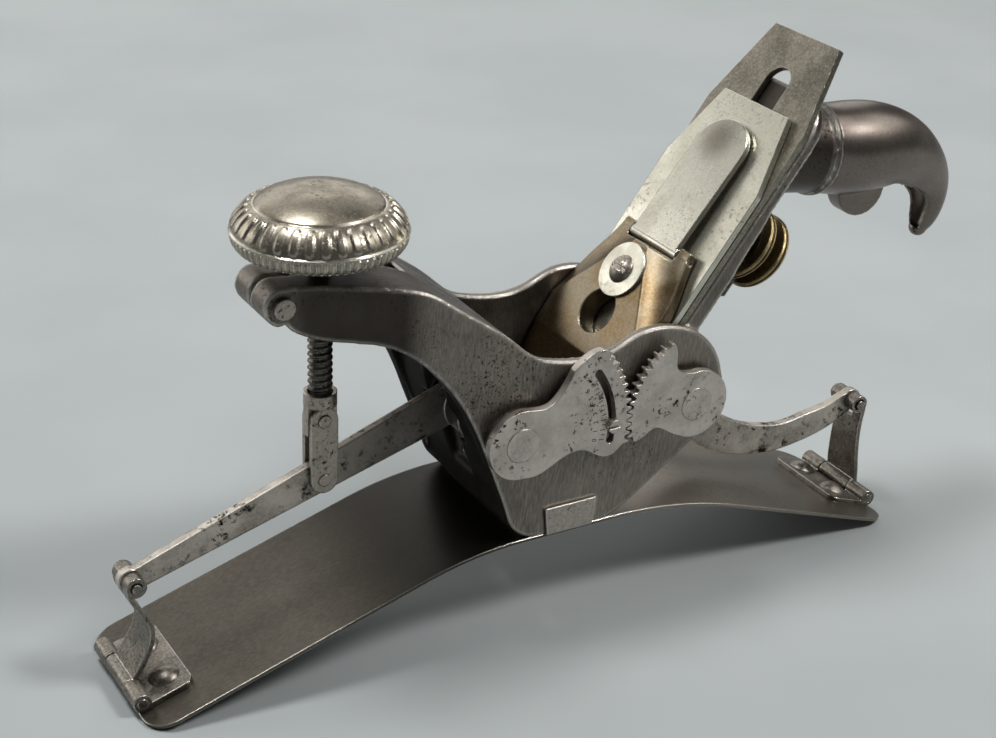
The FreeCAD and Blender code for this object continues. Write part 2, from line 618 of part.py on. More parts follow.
# Spindle, knob and the clevis in which the spindle turns
clevis_pin_z = 69.0
link_length = 18.0
clevis_half = lever_thick / 2
clevis_w = 4.4
collar_r = 4.6
link_w, link_thick = 4.0, 1.3   # half width and thickness of a link strap
collar_high, collar_floor = 3.8, 1.0
collar_z0 = clevis_pin_z + link_w + side_gap
collar_z1 = collar_z0 + collar_high
spindle_foot_z = collar_z0 + collar_floor
link_pin_r = 1.8
knob_hub_z = 117.8
spindle_in_knob = 4.0
nodes["spindle"] = Part.makeCylinder(spindle_r, knob_hub_z + spindle_in_knob - spindle_foot_z, Vector(spindle_x, 0, spindle_foot_z))
clevis_x = spindle_x
nodes["spindle_clevis"] = union(
    box(clevis_x - clevis_w, clevis_x + clevis_w, -clevis_half, clevis_half, clevis_pin_z - clevis_w, collar_z0),
    Part.makeCylinder(collar_r, collar_z1 - collar_z0, Vector(clevis_x, 0, collar_z0))).cut([
        Part.makeCylinder(spindle_r + fit_gap, collar_z1, Vector(clevis_x, 0, spindle_foot_z - fit_gap)),
        rod(clevis_x, clevis_pin_z, link_pin_r, -body_width, body_width)])
knob_profile_shares = [(0.145, -0.11), (0.40, -0.11), (0.43, 0.0), (0.90, 0.0), (0.945, 0.02), (0.985, 0.06), (1.0, 0.11),
                       (1.0, 0.22), (1.0, 0.36), (0.995, 0.46), (0.97, 0.58), (0.925, 0.69), (0.86, 0.78), (0.79, 0.84),
                       (0.735, 0.875), (0.715, 0.885), (0.705, 0.90), (0.66, 0.93), (0.40, 0.985), (0.20, 1.0), (0.0, 1.0)]
pts = [Vector(spindle_x + a * knob_r, 0, knob_rim_z + b * knob_height) for a, b in knob_profile_shares]
pts = [Vector(spindle_x, 0, pts[0].z)] + pts[1:]
wire = Part.makePolygon(pts + [pts[0]])
knob = Part.Face(wire).revolve(Vector(spindle_x, 0, 0), Vector(0, 0, 1), 360)
flute_count = 36
flute_r = 1.5
flutes = []
for k in range(flute_count):
    a = 2 * math.pi * k / flute_count
    flutes.append(Part.makeCylinder(flute_r, knob_height * 0.235 + overrun,
                                    Vector(spindle_x + (knob_r + flute_r * 0.35) * math.cos(a),
                                           (knob_r + flute_r * 0.35) * math.sin(a), knob_rim_z - overrun)))
knob = knob.cut(flutes).cut(nodes["spindle"])
nodes["front_knob"] = knob

# Links from the clevis to the front lever
link_gap = 0.35                # between a strap and the clevis
link_play = 0.3
link_slot = 1.4                # half length of the oval hole for the link's pin in the front lever
link_pin_z = clevis_pin_z - link_length
for name, s in (("near", -1), ("far", 1)):
    y0 = clevis_half + link_gap if s > 0 else -clevis_half - link_gap - link_thick
    strap = union(box(clevis_x - link_w, clevis_x + link_w, y0, y0 + link_thick, link_pin_z, clevis_pin_z),
                  rod(clevis_x, clevis_pin_z, link_w, y0, y0 + link_thick), rod(clevis_x, link_pin_z, link_w, y0, y0 + link_thick))
    nodes["link_strap_%s" % name] = strap.cut([
        rod(clevis_x, clevis_pin_z, link_pin_r + fit_gap, -body_width, body_width),
        rod(clevis_x, link_pin_z, link_pin_r, -body_width, body_width)])
pin_half = clevis_half + link_gap + link_thick
pin_proud = 0.4
nodes["clevis_pin"] = rod(clevis_x, clevis_pin_z, link_pin_r, -pin_half - pin_proud, pin_half + pin_proud)
nodes["link_lower_pin"] = rod(clevis_x, link_pin_z, link_pin_r, -pin_half - pin_proud, pin_half + pin_proud)

# Front lever: a straight tapered bar with a hub on its shaft
lever_half = lever_thick / 2
top_root_w, under_root_w = 9.7, 3.4      # of the front lever over and under its pivot line
top_end_w = 2.6
end_angle = math.degrees(math.atan2(lever_end_z - pivot_z, front_lever_end_x - front_pivot_x))
fl_end = (front_lever_end_x, lever_end_z)
fl_piv = (front_pivot_x, pivot_z)
bar = plate([polar(*fl_piv, top_root_w, end_angle - 90), polar(*fl_end, top_end_w, end_angle - 90),
             polar(*fl_end, lever_end_r, end_angle + 90), polar(*fl_piv, under_root_w, end_angle + 90)],
            -lever_half, lever_thick)
front_lever = union(bar, rod(*fl_end, lever_end_r, -lever_half, lever_half), rod(*fl_piv, hub_r, -hub_half, hub_half))
slot_dir = Vector(clevis_x - front_pivot_x, 0, link_pin_z - pivot_z).normalize() * link_slot
oval_r = link_pin_r + link_play
oval_side = Vector(slot_dir.z, 0, -slot_dir.x).normalize() * oval_r
oval_c = Vector(clevis_x, -body_width, link_pin_z)
oval_ends = [rod(clevis_x + s * slot_dir.x, link_pin_z + s * slot_dir.z, oval_r, -body_width, body_width) for s in (-1, 1)]
oval_mid = Part.Face(Part.makePolygon([oval_c + slot_dir + oval_side, oval_c + slot_dir - oval_side, oval_c - slot_dir - oval_side,
                                       oval_c - slot_dir + oval_side, oval_c + slot_dir + oval_side])).extrude(Vector(0, 2 * body_width, 0))
oval = union(oval_mid, *oval_ends)
front_lever = front_lever.cut([
    rod(*fl_piv, shaft_r, -body_width, body_width), rod(*fl_end, end_pin_r, -body_width, body_width), oval])
nodes["front_lever"] = front_lever

# Rear lever: a swept arm, first down behind the cheeks, then out to its shackle
rl_piv = (rear_pivot_x, pivot_z)
rl_end = (rear_lever_end_x, lever_end_z)
rl_run = rear_lever_end_x - rear_pivot_x
rl_drop = pivot_z - lever_end_z
rl_top_shares = [(0.085, 0.20), (0.20, -0.30), (0.30, -0.61), (0.389, -0.813), (0.470, -0.944), (0.566, -1.035),
                 (0.678, -1.080), (0.786, -1.039), (0.903, -0.977), (0.975, -0.915)]
rl_under_shares = [(1.0, -1.112), (0.939, -1.205), (0.847, -1.295), (0.737, -1.354), (0.628, -1.375), (0.509, -1.331),
                   (0.407, -1.256), (0.342, -1.174), (0.215, -0.93), (0.07, -0.56), (-0.075, -0.17)]
rl_top = [(rear_pivot_x + a * rl_run, pivot_z + b * rl_drop) for a, b in rl_top_shares]
rl_under = [(rear_pivot_x + a * rl_run, pivot_z + b * rl_drop) for a, b in rl_under_shares]
rear_arm = slab([rl_top, rl_under[:1], rl_under[1:-1], rl_under[-1:]], -lever_half, lever_thick)
rear_lever = union(rear_arm, rod(*rl_end, lever_end_r, -lever_half, lever_half), rod(*rl_piv, hub_r, -hub_half, hub_half))
rear_lever = rear_lever.cut([rod(*rl_piv, shaft_r, -body_width, body_width), rod(*rl_end, end_pin_r, -body_width, body_width)])
nodes["rear_lever"] = rear_lever

# Toothed quadrants that gear the two levers together, on the near ends of the shafts
addendum_share, dedendum_share = 0.85, 1.15
backlash = 0.32
lobe_r = 10.3
quad_y1 = -half_body - quadrant_gap
quad_y0 = quad_y1 - quadrant_thick


def toothed_edge(cx, cz, pitch_r, teeth_full, first, last, facing):
    """Points of the toothed edge; tooth k is centred at facing + k pitches."""
    step = 360.0 / teeth_full
    tip_r, root_r = pitch_r + addendum_share * module, pitch_r - dedendum_share * module
    thick = math.pi * module / 2 - backlash
    lean = math.tan(math.radians(20))
    out = []
    for k in range(first, last + 1):
        mid = facing + (k * step)
        for r, w in ((root_r, thick / 2 + (pitch_r - root_r) * lean), (tip_r, thick / 2 - (tip_r - pitch_r) * lean),
                     (tip_r, -thick / 2 + (tip_r - pitch_r) * lean), (root_r, -thick / 2 - (pitch_r - root_r) * lean)):
            out.append(polar(cx, cz, r, mid - math.degrees(w / r)))
    return out


def quadrant(cx, cz, teeth, back):
    """Plate from a toothed edge and the points of its back, with a round lobe on the shaft."""
    edge = [[p] for p in teeth]
    fan = slab(edge + back, quad_y0, quadrant_thick)
    return union(fan, rod(cx, cz, lobe_r, quad_y0, quad_y1)).cut(rod(cx, cz, shaft_r, -body_width, body_width))


ft = toothed_edge(front_pivot_x, pivot_z, front_pitch_r, front_teeth_full, -3, 8, 360.0 / front_teeth_full / 2)
fr_tip = front_pitch_r + addendum_share * module
front_back = [
    [polar(*fl_piv, fr_tip * 1.0, 39.5), polar(*fl_piv, fr_tip * 0.985, 43.0), polar(*fl_piv, fr_tip * 0.86, 48.5)],
    [polar(*fl_piv, fr_tip * 0.70, 51.0), polar(*fl_piv, fr_tip * 0.50, 48.0), polar(*fl_piv, fr_tip * 0.36, 52.0),
     polar(*fl_piv, lobe_r, 84)],
    [polar(*fl_piv, lobe_r * 0.5, 180)],
    [polar(*fl_piv, lobe_r, 275), polar(*fl_piv, fr_tip * 0.34, 305), polar(*fl_piv, fr_tip * 0.46, 338),
     polar(*fl_piv, fr_tip * 0.60, 343), polar(*fl_piv, fr_tip * 0.78, 340)],
    [polar(*fl_piv, fr_tip * 0.90, 343.2)]]
front_quadrant = quadrant(*fl_piv, ft, front_back)
slot_half = 1.3
slot_a0, slot_a1 = -9.0, 36.0
slot_ring = rod(*fl_piv, index_r_on_quadrant + slot_half, quad_y0 - overrun, quad_y1 + overrun).cut(
    rod(*fl_piv, index_r_on_quadrant - slot_half, quad_y0 - overrun * 2, quad_y1 + overrun * 2))
wedge = plate([fl_piv, polar(*fl_piv, front_pitch_r * 2, slot_a0), polar(*fl_piv, front_pitch_r * 2, slot_a1)],
              quad_y0 - overrun, quadrant_thick + 2 * overrun)
slot_cut = [slot_ring.common(wedge)]
for a in (slot_a0, slot_a1):
    slot_cut.append(rod(*polar(*fl_piv, index_r_on_quadrant, a), slot_half, quad_y0 - overrun, quad_y1 + overrun))
nodes["front_quadrant"] = front_quadrant.cut(slot_cut)

rt = toothed_edge(rear_pivot_x, pivot_z, rear_pitch_r, rear_teeth_full, -9, 2, 180.0)
rr_tip = rear_pitch_r + addendum_share * module
rear_back = [
    [polar(*rl_piv, rr_tip * 0.93, 199.5), polar(*rl_piv, rr_tip * 0.80, 200.0), polar(*rl_piv, rr_tip * 0.62, 198),
     polar(*rl_piv, rr_tip * 0.50, 212), polar(*rl_piv, lobe_r, 240)],
    [polar(*rl_piv, lobe_r * 0.5, 0)],
    [polar(*rl_piv, lobe_r, 80), polar(*rl_piv, rr_tip * 0.46, 107), polar(*rl_piv, rr_tip * 0.62, 121),
     polar(*rl_piv, rr_tip * 0.84, 114.5), polar(*rl_piv, rr_tip * 0.97, 114.5)]]
nodes["rear_quadrant"] = quadrant(*rl_piv, rt, rear_back)

shaft_proud = 0.15
nodes["front_shaft"] = rod(*fl_piv, shaft_r, quad_y0 - shaft_proud, half_body - fit_gap)
nodes["rear_shaft"] = rod(*rl_piv, shaft_r, quad_y0 - shaft_proud, half_body - fit_gap)
index_head_r, index_head_thick = 2.0, 1.6
slot_w = 0.7
index_screw = union(rod(index_x, index_z, index_shank_r, quad_y0 - side_gap, -inner_half - fit_gap),
                    rod(index_x, index_z, index_head_r, quad_y0 - side_gap - index_head_thick, quad_y0 - side_gap))
nodes["index_screw"] = index_screw.cut(box(index_x - index_head_r * 2, index_x + index_head_r * 2, quad_y0 - side_gap - index_head_thick - overrun,
                                           quad_y0 - side_gap - index_head_thick / 2, index_z - slot_w / 2, index_z + slot_w / 2))

# Cutting iron: slotted, bevelled below and tapered above
edge_t = bed_t(crown_z - sole_thick, 0)
bevel = 25.0
bevel_t = edge_t + iron_thick / math.tan(math.radians(bevel))
iron_taper_t = 169.3
iron_top_half = 14.7
iron_slot_half = 5.0
iron_slot_t0, iron_slot_t1 = 64.0, 185.5
iron = plate([(edge_t, 0), (iron_top_t, 0), (iron_top_t, -iron_thick), (bevel_t, -iron_thick)], -iron_width / 2, iron_width)


def taper_cut(t0, t1, half0, half1, s):
    p = [(t0, half0), (t1, half1), (t1 + overrun, half1), (t1 + overrun, half0 + overrun), (t0, half0 + overrun)]
    return plan([[(x, s * y)] for x, y in p], -seat_back, seat_back)


def long_slot(t0, t1, half, h0, h1):
    return union(box(t0 + half, t1 - half, -half, half, h0, h1),
                 Part.makeCylinder(half, h1 - h0, Vector(t0 + half, 0, h0)), Part.makeCylinder(half, h1 - h0, Vector(t1 - half, 0, h0)))


iron = iron.cut([taper_cut(iron_taper_t, iron_top_t, iron_width / 2, iron_top_half, s) for s in (-1, 1)]
                + [long_slot(iron_slot_t0, iron_slot_t1, iron_slot_half, -iron_thick * 2, iron_thick)])
nodes["cutter_iron"] = seat(iron)

# Cap iron: hooked down onto the iron just behind its edge, tapered at its top
chip_lap = 1.6                 # back from the cutting edge
chip_thick = 1.9
chip_lift = 0.25               # off the iron
chip_top_t, chip_taper_t, chip_top_half = 172.5, 149.0, 15.0
chip_inset = 0.1               # its edges, in from the iron's
chip_half = iron_width / 2 - chip_inset
chip_touch = 0.02              # its lip off the iron
hook = 14.0
chip_runs = [
    [(edge_t + chip_lap, chip_touch), (edge_t + chip_lap + hook * 0.30, chip_thick * 1.45), (edge_t + chip_lap + hook * 0.7, chip_thick * 1.75),
     (edge_t + chip_lap + hook * 1.3, chip_lift + chip_thick * 1.05)],
    [(edge_t + chip_lap + hook * 1.8, chip_lift + chip_thick)],
    [(chip_top_t, chip_lift + chip_thick)], [(chip_top_t, chip_lift)],
    [(edge_t + chip_lap + hook * 1.7, chip_lift)], [(edge_t + chip_lap + hook * 1.25, chip_lift + chip_thick * 0.12)],
    [(edge_t + chip_lap + hook * 0.75, chip_thick * 0.66)], [(edge_t + chip_lap + hook * 0.5, chip_thick * 0.55)],
    [(edge_t + chip_lap + hook * 0.22, chip_touch)]]
chip = slab(chip_runs, -chip_half, 2 * chip_half)
chip_slot_half = 4.0
chip_slot_down, chip_slot_up = 6.0, 2.6      # slot past the lever-cap screw
chip_screw_r = 3.6
yoke_tip = 1.3
chip = chip.cut([taper_cut(chip_taper_t, chip_top_t, chip_half, chip_top_half, s) for s in (-1, 1)]
                + [long_slot(cap_screw_t - chip_slot_half - chip_slot_down, cap_screw_t + chip_slot_half + chip_slot_up, chip_slot_half, -overrun, overrun),
                   box(yoke_t - yoke_tip - side_gap, yoke_t + yoke_tip + side_gap, -yoke_thick / 2 - side_gap, yoke_thick / 2 + side_gap,
                       -overrun, overrun),
                   Part.makeCylinder(chip_screw_r, overrun * 2, Vector(chip_screw_t, 0, -overrun))])
nodes["cap_iron"] = seat(chip)
nodes["cap_iron_screw"] = seat(union(
    Part.makeCylinder(chip_screw_r, iron_thick + chip_lift + chip_thick, Vector(chip_screw_t, 0, -iron_thick)),
    Part.makeCylinder(chip_screw_head_r, chip_head_thick, Vector(chip_screw_t, 0, -iron_thick - chip_head_thick))))

# Lever cap: wedge-shaped clamp over the cap iron, with a raised middle and hollowed flanks
cap_low_t, cap_top_t = 68.0, 125.8
cap_side_clear = 0.5
cap_half = inner_half - cap_side_clear
cap_top_half = 16.2
cap_shoulder_t = 104.0
cap_under_h = chip_lift + chip_thick + side_gap
cap_h = 9.2                    # face of the cap over the iron
cap_round = 3.0                # rounding of its top edge
cap_toe_shares = [(0.25, 0.12), (1.1, 0.53), (1.5, 0.59), (1.9, 0.68)]      # of the cap's height
cap_side = slab([
    [(cap_low_t, cap_under_h)],
    [(cap_low_t + cap_h * a, cap_under_h + cap_h * b) for a, b in cap_toe_shares[:-1]],
    [(cap_low_t + cap_h * cap_toe_shares[-1][0], cap_under_h + cap_h * cap_toe_shares[-1][1])],
    [(cap_screw_t - cap_h * 1.3, cap_h)],
    [(cap_top_t - cap_round, cap_h), (cap_top_t - cap_round * 0.35, cap_h - cap_round * 0.25)],
    [(cap_top_t, cap_h - cap_round * 0.8)], [(cap_top_t, cap_under_h + fit_gap * 2)],
    [(cap_low_t + cap_h, cap_under_h + fit_gap * 2)]], -cap_half, 2 * cap_half)
cap_edge_shares = [(0.0, 1.0), (0.32, 0.79), (0.69, 0.28), (1.0, 0.0)]      # narrowing above the shoulder
cap_narrow, cap_narrow_len = cap_half - cap_top_half, cap_top_t - cap_shoulder_t
cap_cuts = [plan([[(cap_shoulder_t + a * cap_narrow_len, s * (cap_top_half + b * cap_narrow)) for a, b in cap_edge_shares],
                  [(cap_top_t + overrun, s * cap_top_half)], [(cap_top_t + overrun, s * (cap_half + overrun))],
                  [(cap_shoulder_t, s * (cap_half + overrun))]], -seat_back, seat_back) for s in (-1, 1)]
# The raised middle widens downwards; a hollow flank falls away on each side of it
ridge_top_half, ridge_low_half = 5.1, 20.1      # half width of the raised middle at the two places below
ridge_top_t, ridge_low_t = 121.8, 100.9
flank_r, flank_depth = 20.0, 3.8
flank_out = math.sqrt(flank_r ** 2 - (flank_r - flank_depth) ** 2)
ridge_slope = (ridge_low_half - ridge_top_half) / (ridge_top_t - ridge_low_t)
flank_cuts = []
for s in (-1, 1):
    ends = [Vector(t, s * (ridge_top_half + (ridge_top_t - t) * ridge_slope + flank_out), cap_h + flank_r - flank_depth)
            for t in (ridge_low_t - flank_r, cap_top_t + flank_r / 2)]
    flank_cuts.append(Part.makeCylinder(flank_r, (ends[1] - ends[0]).Length, ends[0], ends[1] - ends[0]))
keyhole_t, keyhole_r, key_slot_half = 97.7, 6.8, 3.6
cap_hole = [Part.makeCylinder(keyhole_r, cap_h * 3, Vector(keyhole_t, 0, -cap_h)),
            box(keyhole_t, cap_screw_t, -key_slot_half, key_slot_half, -cap_h, cap_h * 2),
            Part.makeCylinder(key_slot_half, cap_h * 3, Vector(cap_screw_t, 0, -cap_h))]
thumb_t, thumb_h = 123.4, 4.3
thumb_pin_r = 0.9
thumb_half = 11.2
cam_r = 1.8
cam_clear = 0.4
thumb_well = box(thumb_t - cam_r - cam_clear, cap_top_t + overrun, -thumb_half - side_gap, thumb_half + side_gap, -cap_h, cap_h * 2)
lever_cap = cap_side.cut(cap_cuts + flank_cuts + cap_hole + [thumb_well, rod(thumb_t, thumb_h, thumb_pin_r, -body_width, body_width)])
nodes["lever_cap"] = seat(lever_cap)
washer_r, washer_thick = 8.5, 0.9
nodes["cap_washer"] = seat(Part.makeCylinder(washer_r, washer_thick, Vector(cap_screw_t, 0, cap_h)).cut(
    Part.makeCylinder(cap_screw_r, washer_thick * 4, Vector(cap_screw_t, 0, cap_h - washer_thick))))
cap_screw_head_r, cap_screw_head_h = 4.4, 2.6
dome = (cap_screw_head_r ** 2 + cap_screw_head_h ** 2) / (2 * cap_screw_head_h)
head_low = cap_h + washer_thick
screw_head = Part.makeSphere(dome, Vector(cap_screw_t, 0, head_low + cap_screw_head_h - dome)).common(
    Part.makeCylinder(cap_screw_head_r, dome * 2, Vector(cap_screw_t, 0, head_low)))
screw_head = screw_head.cut(box(cap_screw_t - slot_w, cap_screw_t + slot_w, -cap_screw_head_r, cap_screw_head_r,
                                head_low + cap_screw_head_h / 2, head_low + dome * 2))
nodes["lever_cap_screw"] = seat(union(
    Part.makeCylinder(cap_screw_r, head_low - bed_face_h + bed_thick, Vector(cap_screw_t, 0, bed_face_h - bed_thick)), screw_head))

# Thumb lever: a cam that locks the lever cap, with a long tongue lying on the cap iron
tongue_end_t, tongue_half, tongue_thick = 165.0, 10.5, 1.6
tongue_lift = 0.75             # its end, off the cap iron
tongue_h = chip_lift + chip_thick + tongue_lift
tongue_low_t = thumb_t + cam_r * 0.4
root_h = thumb_h + cam_r
tongue_side = plate([(tongue_low_t, root_h - tongue_thick), (tongue_end_t, tongue_h), (tongue_end_t, tongue_h + tongue_thick),
                     (tongue_low_t, root_h)], -tongue_half, 2 * tongue_half)
tongue_end_shares = [(0.86, 1.0), (0.43, 0.86), (0.12, 0.5), (0.0, 0.0)]      # of the tongue's half width
right = [(tongue_end_t - a * tongue_half, b * tongue_half) for a, b in tongue_end_shares]
tongue_plan = plan([[(thumb_t, -tongue_half)], [(x, -y) for x, y in right] + list(reversed(right))[1:-1], [right[0]],
                    [(thumb_t, tongue_half)]], -seat_back, seat_back)
thumb = union(tongue_side.common(tongue_plan), rod(thumb_t, thumb_h, cam_r, -thumb_half, thumb_half))
nodes["thumb_lever"] = seat(thumb.cut(rod(thumb_t, thumb_h, thumb_pin_r + fit_gap, -body_width, body_width)))
nodes["thumb_lever_pin"] = seat(rod(thumb_t, thumb_h, thumb_pin_r, fit_gap - cap_top_half, cap_top_half - fit_gap))

# Adjusting nut on its stud, and the yoke that feeds the iron
groove_half, groove_r = 1.62, 5.8
foot_clear = 0.9               # from the yoke's foot to the bottom of the groove
nut = Part.makeCylinder(nut_r, nut_thick, Vector(stud_t, 0, nut_h - nut_thick / 2)).cut([
    Part.makeCylinder(nut_r * 2, groove_half * 2, Vector(stud_t, 0, nut_h - groove_half)).cut(
        Part.makeCylinder(groove_r, groove_half * 4, Vector(stud_t, 0, nut_h - groove_half * 2))),
    Part.makeCylinder(stud_r + fit_gap, nut_thick * 3, Vector(stud_t, 0, nut_h - nut_thick * 1.5))])
nut_chamfer = 0.5
nodes["adjusting_nut"] = seat(nut)
stud_tail = 3.5
stud_low = nut_h - nut_thick / 2 - stud_tail
nodes["adjusting_stud"] = seat(Part.makeCylinder(stud_r, bed_face_h - bed_thick - stud_low, Vector(stud_t, 0, stud_low)).cut(
    box(stud_t - stud_r * 2, stud_t + stud_r * 2, -body_width, body_width, stud_boss_h - overrun + seat_back, seat_back)))
foot_r = 0.95
foot_t = stud_t - groove_r - foot_r - foot_clear
leg_clear, leg_w = 1.0, 4.4
leg_t = stud_t - nut_r - leg_clear       # the leg stands clear of the nut's rim
yoke_runs = [
    [(yoke_t - yoke_tip, chip_lift + chip_thick - side_gap)], [(yoke_t - yoke_tip, yoke_h + ear_r * 0.6)],
    [(yoke_t - ear_r * 0.8, yoke_h)], [(leg_t - leg_w, nut_h + foot_r)], [(leg_t - leg_w + foot_r, nut_h - foot_r)], [(foot_t, nut_h - foot_r)],
    [(foot_t, nut_h + foot_r)], [(leg_t, nut_h + foot_r)], [(leg_t, nut_h + nut_thick)],
    [(yoke_t + ear_r * 0.8, yoke_h)], [(yoke_t + yoke_tip, yoke_h + ear_r * 0.6)], [(yoke_t + yoke_tip, chip_lift + chip_thick - side_gap)]]
yoke = union(slab(yoke_runs, -yoke_thick / 2, yoke_thick), rod(yoke_t, yoke_h, ear_r * 0.8, -yoke_thick / 2, yoke_thick / 2),
             rod(foot_t, nut_h, foot_r, -yoke_thick / 2, yoke_thick / 2))
nodes["yoke_lever"] = seat(yoke.cut(rod(yoke_t, yoke_h, yoke_pin_r + fit_gap, -body_width, body_width)))
yoke_pin_half = yoke_thick / 2 + side_gap + ear_wall
nodes["yoke_pin"] = seat(rod(yoke_t, yoke_h, yoke_pin_r, -yoke_pin_half, yoke_pin_half))

# Handle: a horn that leaves its round seat, runs back and hooks down, hollowed underneath
horn_run, horn_scale, horn_r = 48.4, 33.0, 13.6
horn_shares = [(0.0, 0.0, 0.985), (0.188, -0.045, 1.02), (0.384, -0.07, 1.02), (0.60, -0.128, 0.915), (0.797, -0.273, 0.765),
               (0.921, -0.442, 0.617), (1.0, -0.645, 0.448), (0.996, -0.848, 0.345), (0.957, -1.0, 0.213)]
centres = [Vector(handle_x + a * horn_run, 0, handle_z + b * horn_scale) for a, b, c in horn_shares]
radii = [c * horn_r for a, b, c in horn_shares]


def tangents(points):
    out = []
    for k in range(len(points)):
        a = points[max(k - 1, 0)]
        b = points[min(k + 1, len(points) - 1)]
        out.append((b - a).normalize())
    return out


dirs = tangents(centres)
dirs[0] = handle_dir
rings = [Part.Wire([Part.makeCircle(r, c, d)]) for r, c, d in zip(radii, centres, dirs)]
horn = Part.makeLoft(rings, True, False)
tip_ball = Part.makeSphere(radii[-1], centres[-1])
horn = union(horn, tip_ball)
hollow_from = 3
hollow = []
for k in range(hollow_from, len(centres)):
    inward = Vector(dirs[k].z, 0, -dirs[k].x)          # towards the hand side, under the horn
    hollow.append(Part.Wire([Part.makeCircle(radii[k] * 0.66, centres[k] + inward * (radii[k] * 0.62), dirs[k])]))
hollow_solid = Part.makeLoft(hollow, True, False)
entry = centres[hollow_from] + Vector(dirs[hollow_from].z, 0, -dirs[hollow_from].x) * (radii[hollow_from] * 0.62)
hollow_ball = Part.makeSphere(radii[hollow_from] * 0.655, entry)
horn = horn.cut([hollow_solid, hollow_ball])
lug_r, lug_half = 8.6, 3.2
lug_x = handle_x + 0.385 * horn_run
lug_z = handle_z - 0.455 * horn_scale
lug = union(rod(lug_x, lug_z, lug_r, -lug_half, lug_half),
            box(lug_x - lug_r, lug_x + lug_r, -lug_half, lug_half, lug_z, lug_z + lug_r * 1.4))
horn = union(horn, lug)
handle_screw_len = 30.0
pocket_floor = handle_c - handle_dir * pocket_back
screw_len_in_horn = 16.0
shank = Part.makeCylinder(handle_screw_r, pocket_back + screw_len_in_horn, pocket_floor, handle_dir)
screw_head_len = 2.4
head = Part.makeCylinder(handle_screw_head_r, screw_head_len, pocket_floor - handle_dir * screw_head_len, handle_dir)
nodes["rear_handle"] = horn.cut(shank)
nodes["handle_screw"] = union(shank, head)

os.makedirs("parts", exist_ok=True)
for name, shape in nodes.items():
    if shape.ShapeType == "Compound" and len(shape.Solids) == 1:
        shape = shape.Solids[0]
    shape.exportStep("parts/%s.step" % name)
    print("%-22s solids %d volume %10.1f valid %s" % (name, len(shape.Solids), shape.Volume, shape.isValid()))
print("hinge points", {k: (round(v[0], 3), round(v[1], 3)) for k, v in hinge_points.items()})
for label, end in (("front", front_end), ("rear", rear_end)):
    print(label, "slope", round(math.degrees(end.slope), 3), "joints",
          [tuple(round(c, 3) for c in end.joint(s)) for s in bend_joint_shares])
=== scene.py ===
import math
import bpy
import bmesh
from mathutils import Matrix, Vector


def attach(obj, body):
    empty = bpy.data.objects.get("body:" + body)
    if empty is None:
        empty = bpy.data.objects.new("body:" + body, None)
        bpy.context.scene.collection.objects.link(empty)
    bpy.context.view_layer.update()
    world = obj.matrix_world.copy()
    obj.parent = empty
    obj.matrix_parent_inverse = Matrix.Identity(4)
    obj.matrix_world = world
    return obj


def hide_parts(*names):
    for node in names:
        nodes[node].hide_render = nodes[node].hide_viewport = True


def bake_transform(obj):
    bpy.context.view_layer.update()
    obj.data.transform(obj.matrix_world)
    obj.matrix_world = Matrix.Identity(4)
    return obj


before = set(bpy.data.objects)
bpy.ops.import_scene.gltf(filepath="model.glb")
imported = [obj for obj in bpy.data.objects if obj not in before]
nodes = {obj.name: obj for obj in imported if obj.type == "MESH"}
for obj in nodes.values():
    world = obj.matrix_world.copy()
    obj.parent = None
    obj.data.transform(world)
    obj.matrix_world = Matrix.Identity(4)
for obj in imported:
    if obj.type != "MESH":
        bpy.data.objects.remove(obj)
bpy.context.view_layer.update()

scene = bpy.context.scene


# The camera stands in front of the plane and to its near side, 59 cm away, and looks down on it with
# a slight roll. The shift moves it across the view, and the lens is as long as a portrait lens.
camera_turn, camera_height, camera_roll = map(math.radians, (-31.0, 26.1, 2.4))
camera_shift, camera_distance = Vector((0.0041, -0.0629)), 0.5884
sensor_width, focal_pixels, picture_pixels = 36.0, 1957.5, 996
back = Vector((math.sin(camera_turn) * math.cos(camera_height),
               -math.cos(camera_turn) * math.cos(camera_height),
               math.sin(camera_height)))
level = Vector((math.cos(camera_turn), math.sin(camera_turn), 0))
rising = back.cross(level)
right = level * math.cos(camera_roll) + rising * math.sin(camera_roll)
above = rising * math.cos(camera_roll) - level * math.sin(camera_roll)
camera_data = bpy.data.cameras.new("camera")
camera_data.sensor_width = sensor_width
camera_data.lens = sensor_width * focal_pixels / picture_pixels
camera = bpy.data.objects.new("camera", camera_data)
camera.matrix_world = Matrix((right, above, back)).transposed().to_4x4()
camera.location = back * camera_distance - right * camera_shift.x - above * camera_shift.y
scene.collection.objects.link(camera)
scene.camera = camera
scene.view_settings.view_transform = "Standard"


# Two soft lamps hang high, one above the plane and behind it and one to the front right, and give it its
# shadows. Three wide, weak panels show in the metal as pale bands, and a little light comes from all round.
def lamp(name, place, target, size, power, colour):
    data = bpy.data.lights.new(name, "AREA")
    data.shape, data.size, data.size_y = "RECTANGLE", size[0], size[1]
    data.energy, data.color = power, colour
    made = bpy.data.objects.new(name, data)
    made.location = place
    made.rotation_euler = (Vector(target) - Vector(place)).to_track_quat("-Z", "Y").to_euler()
    scene.collection.objects.link(made)


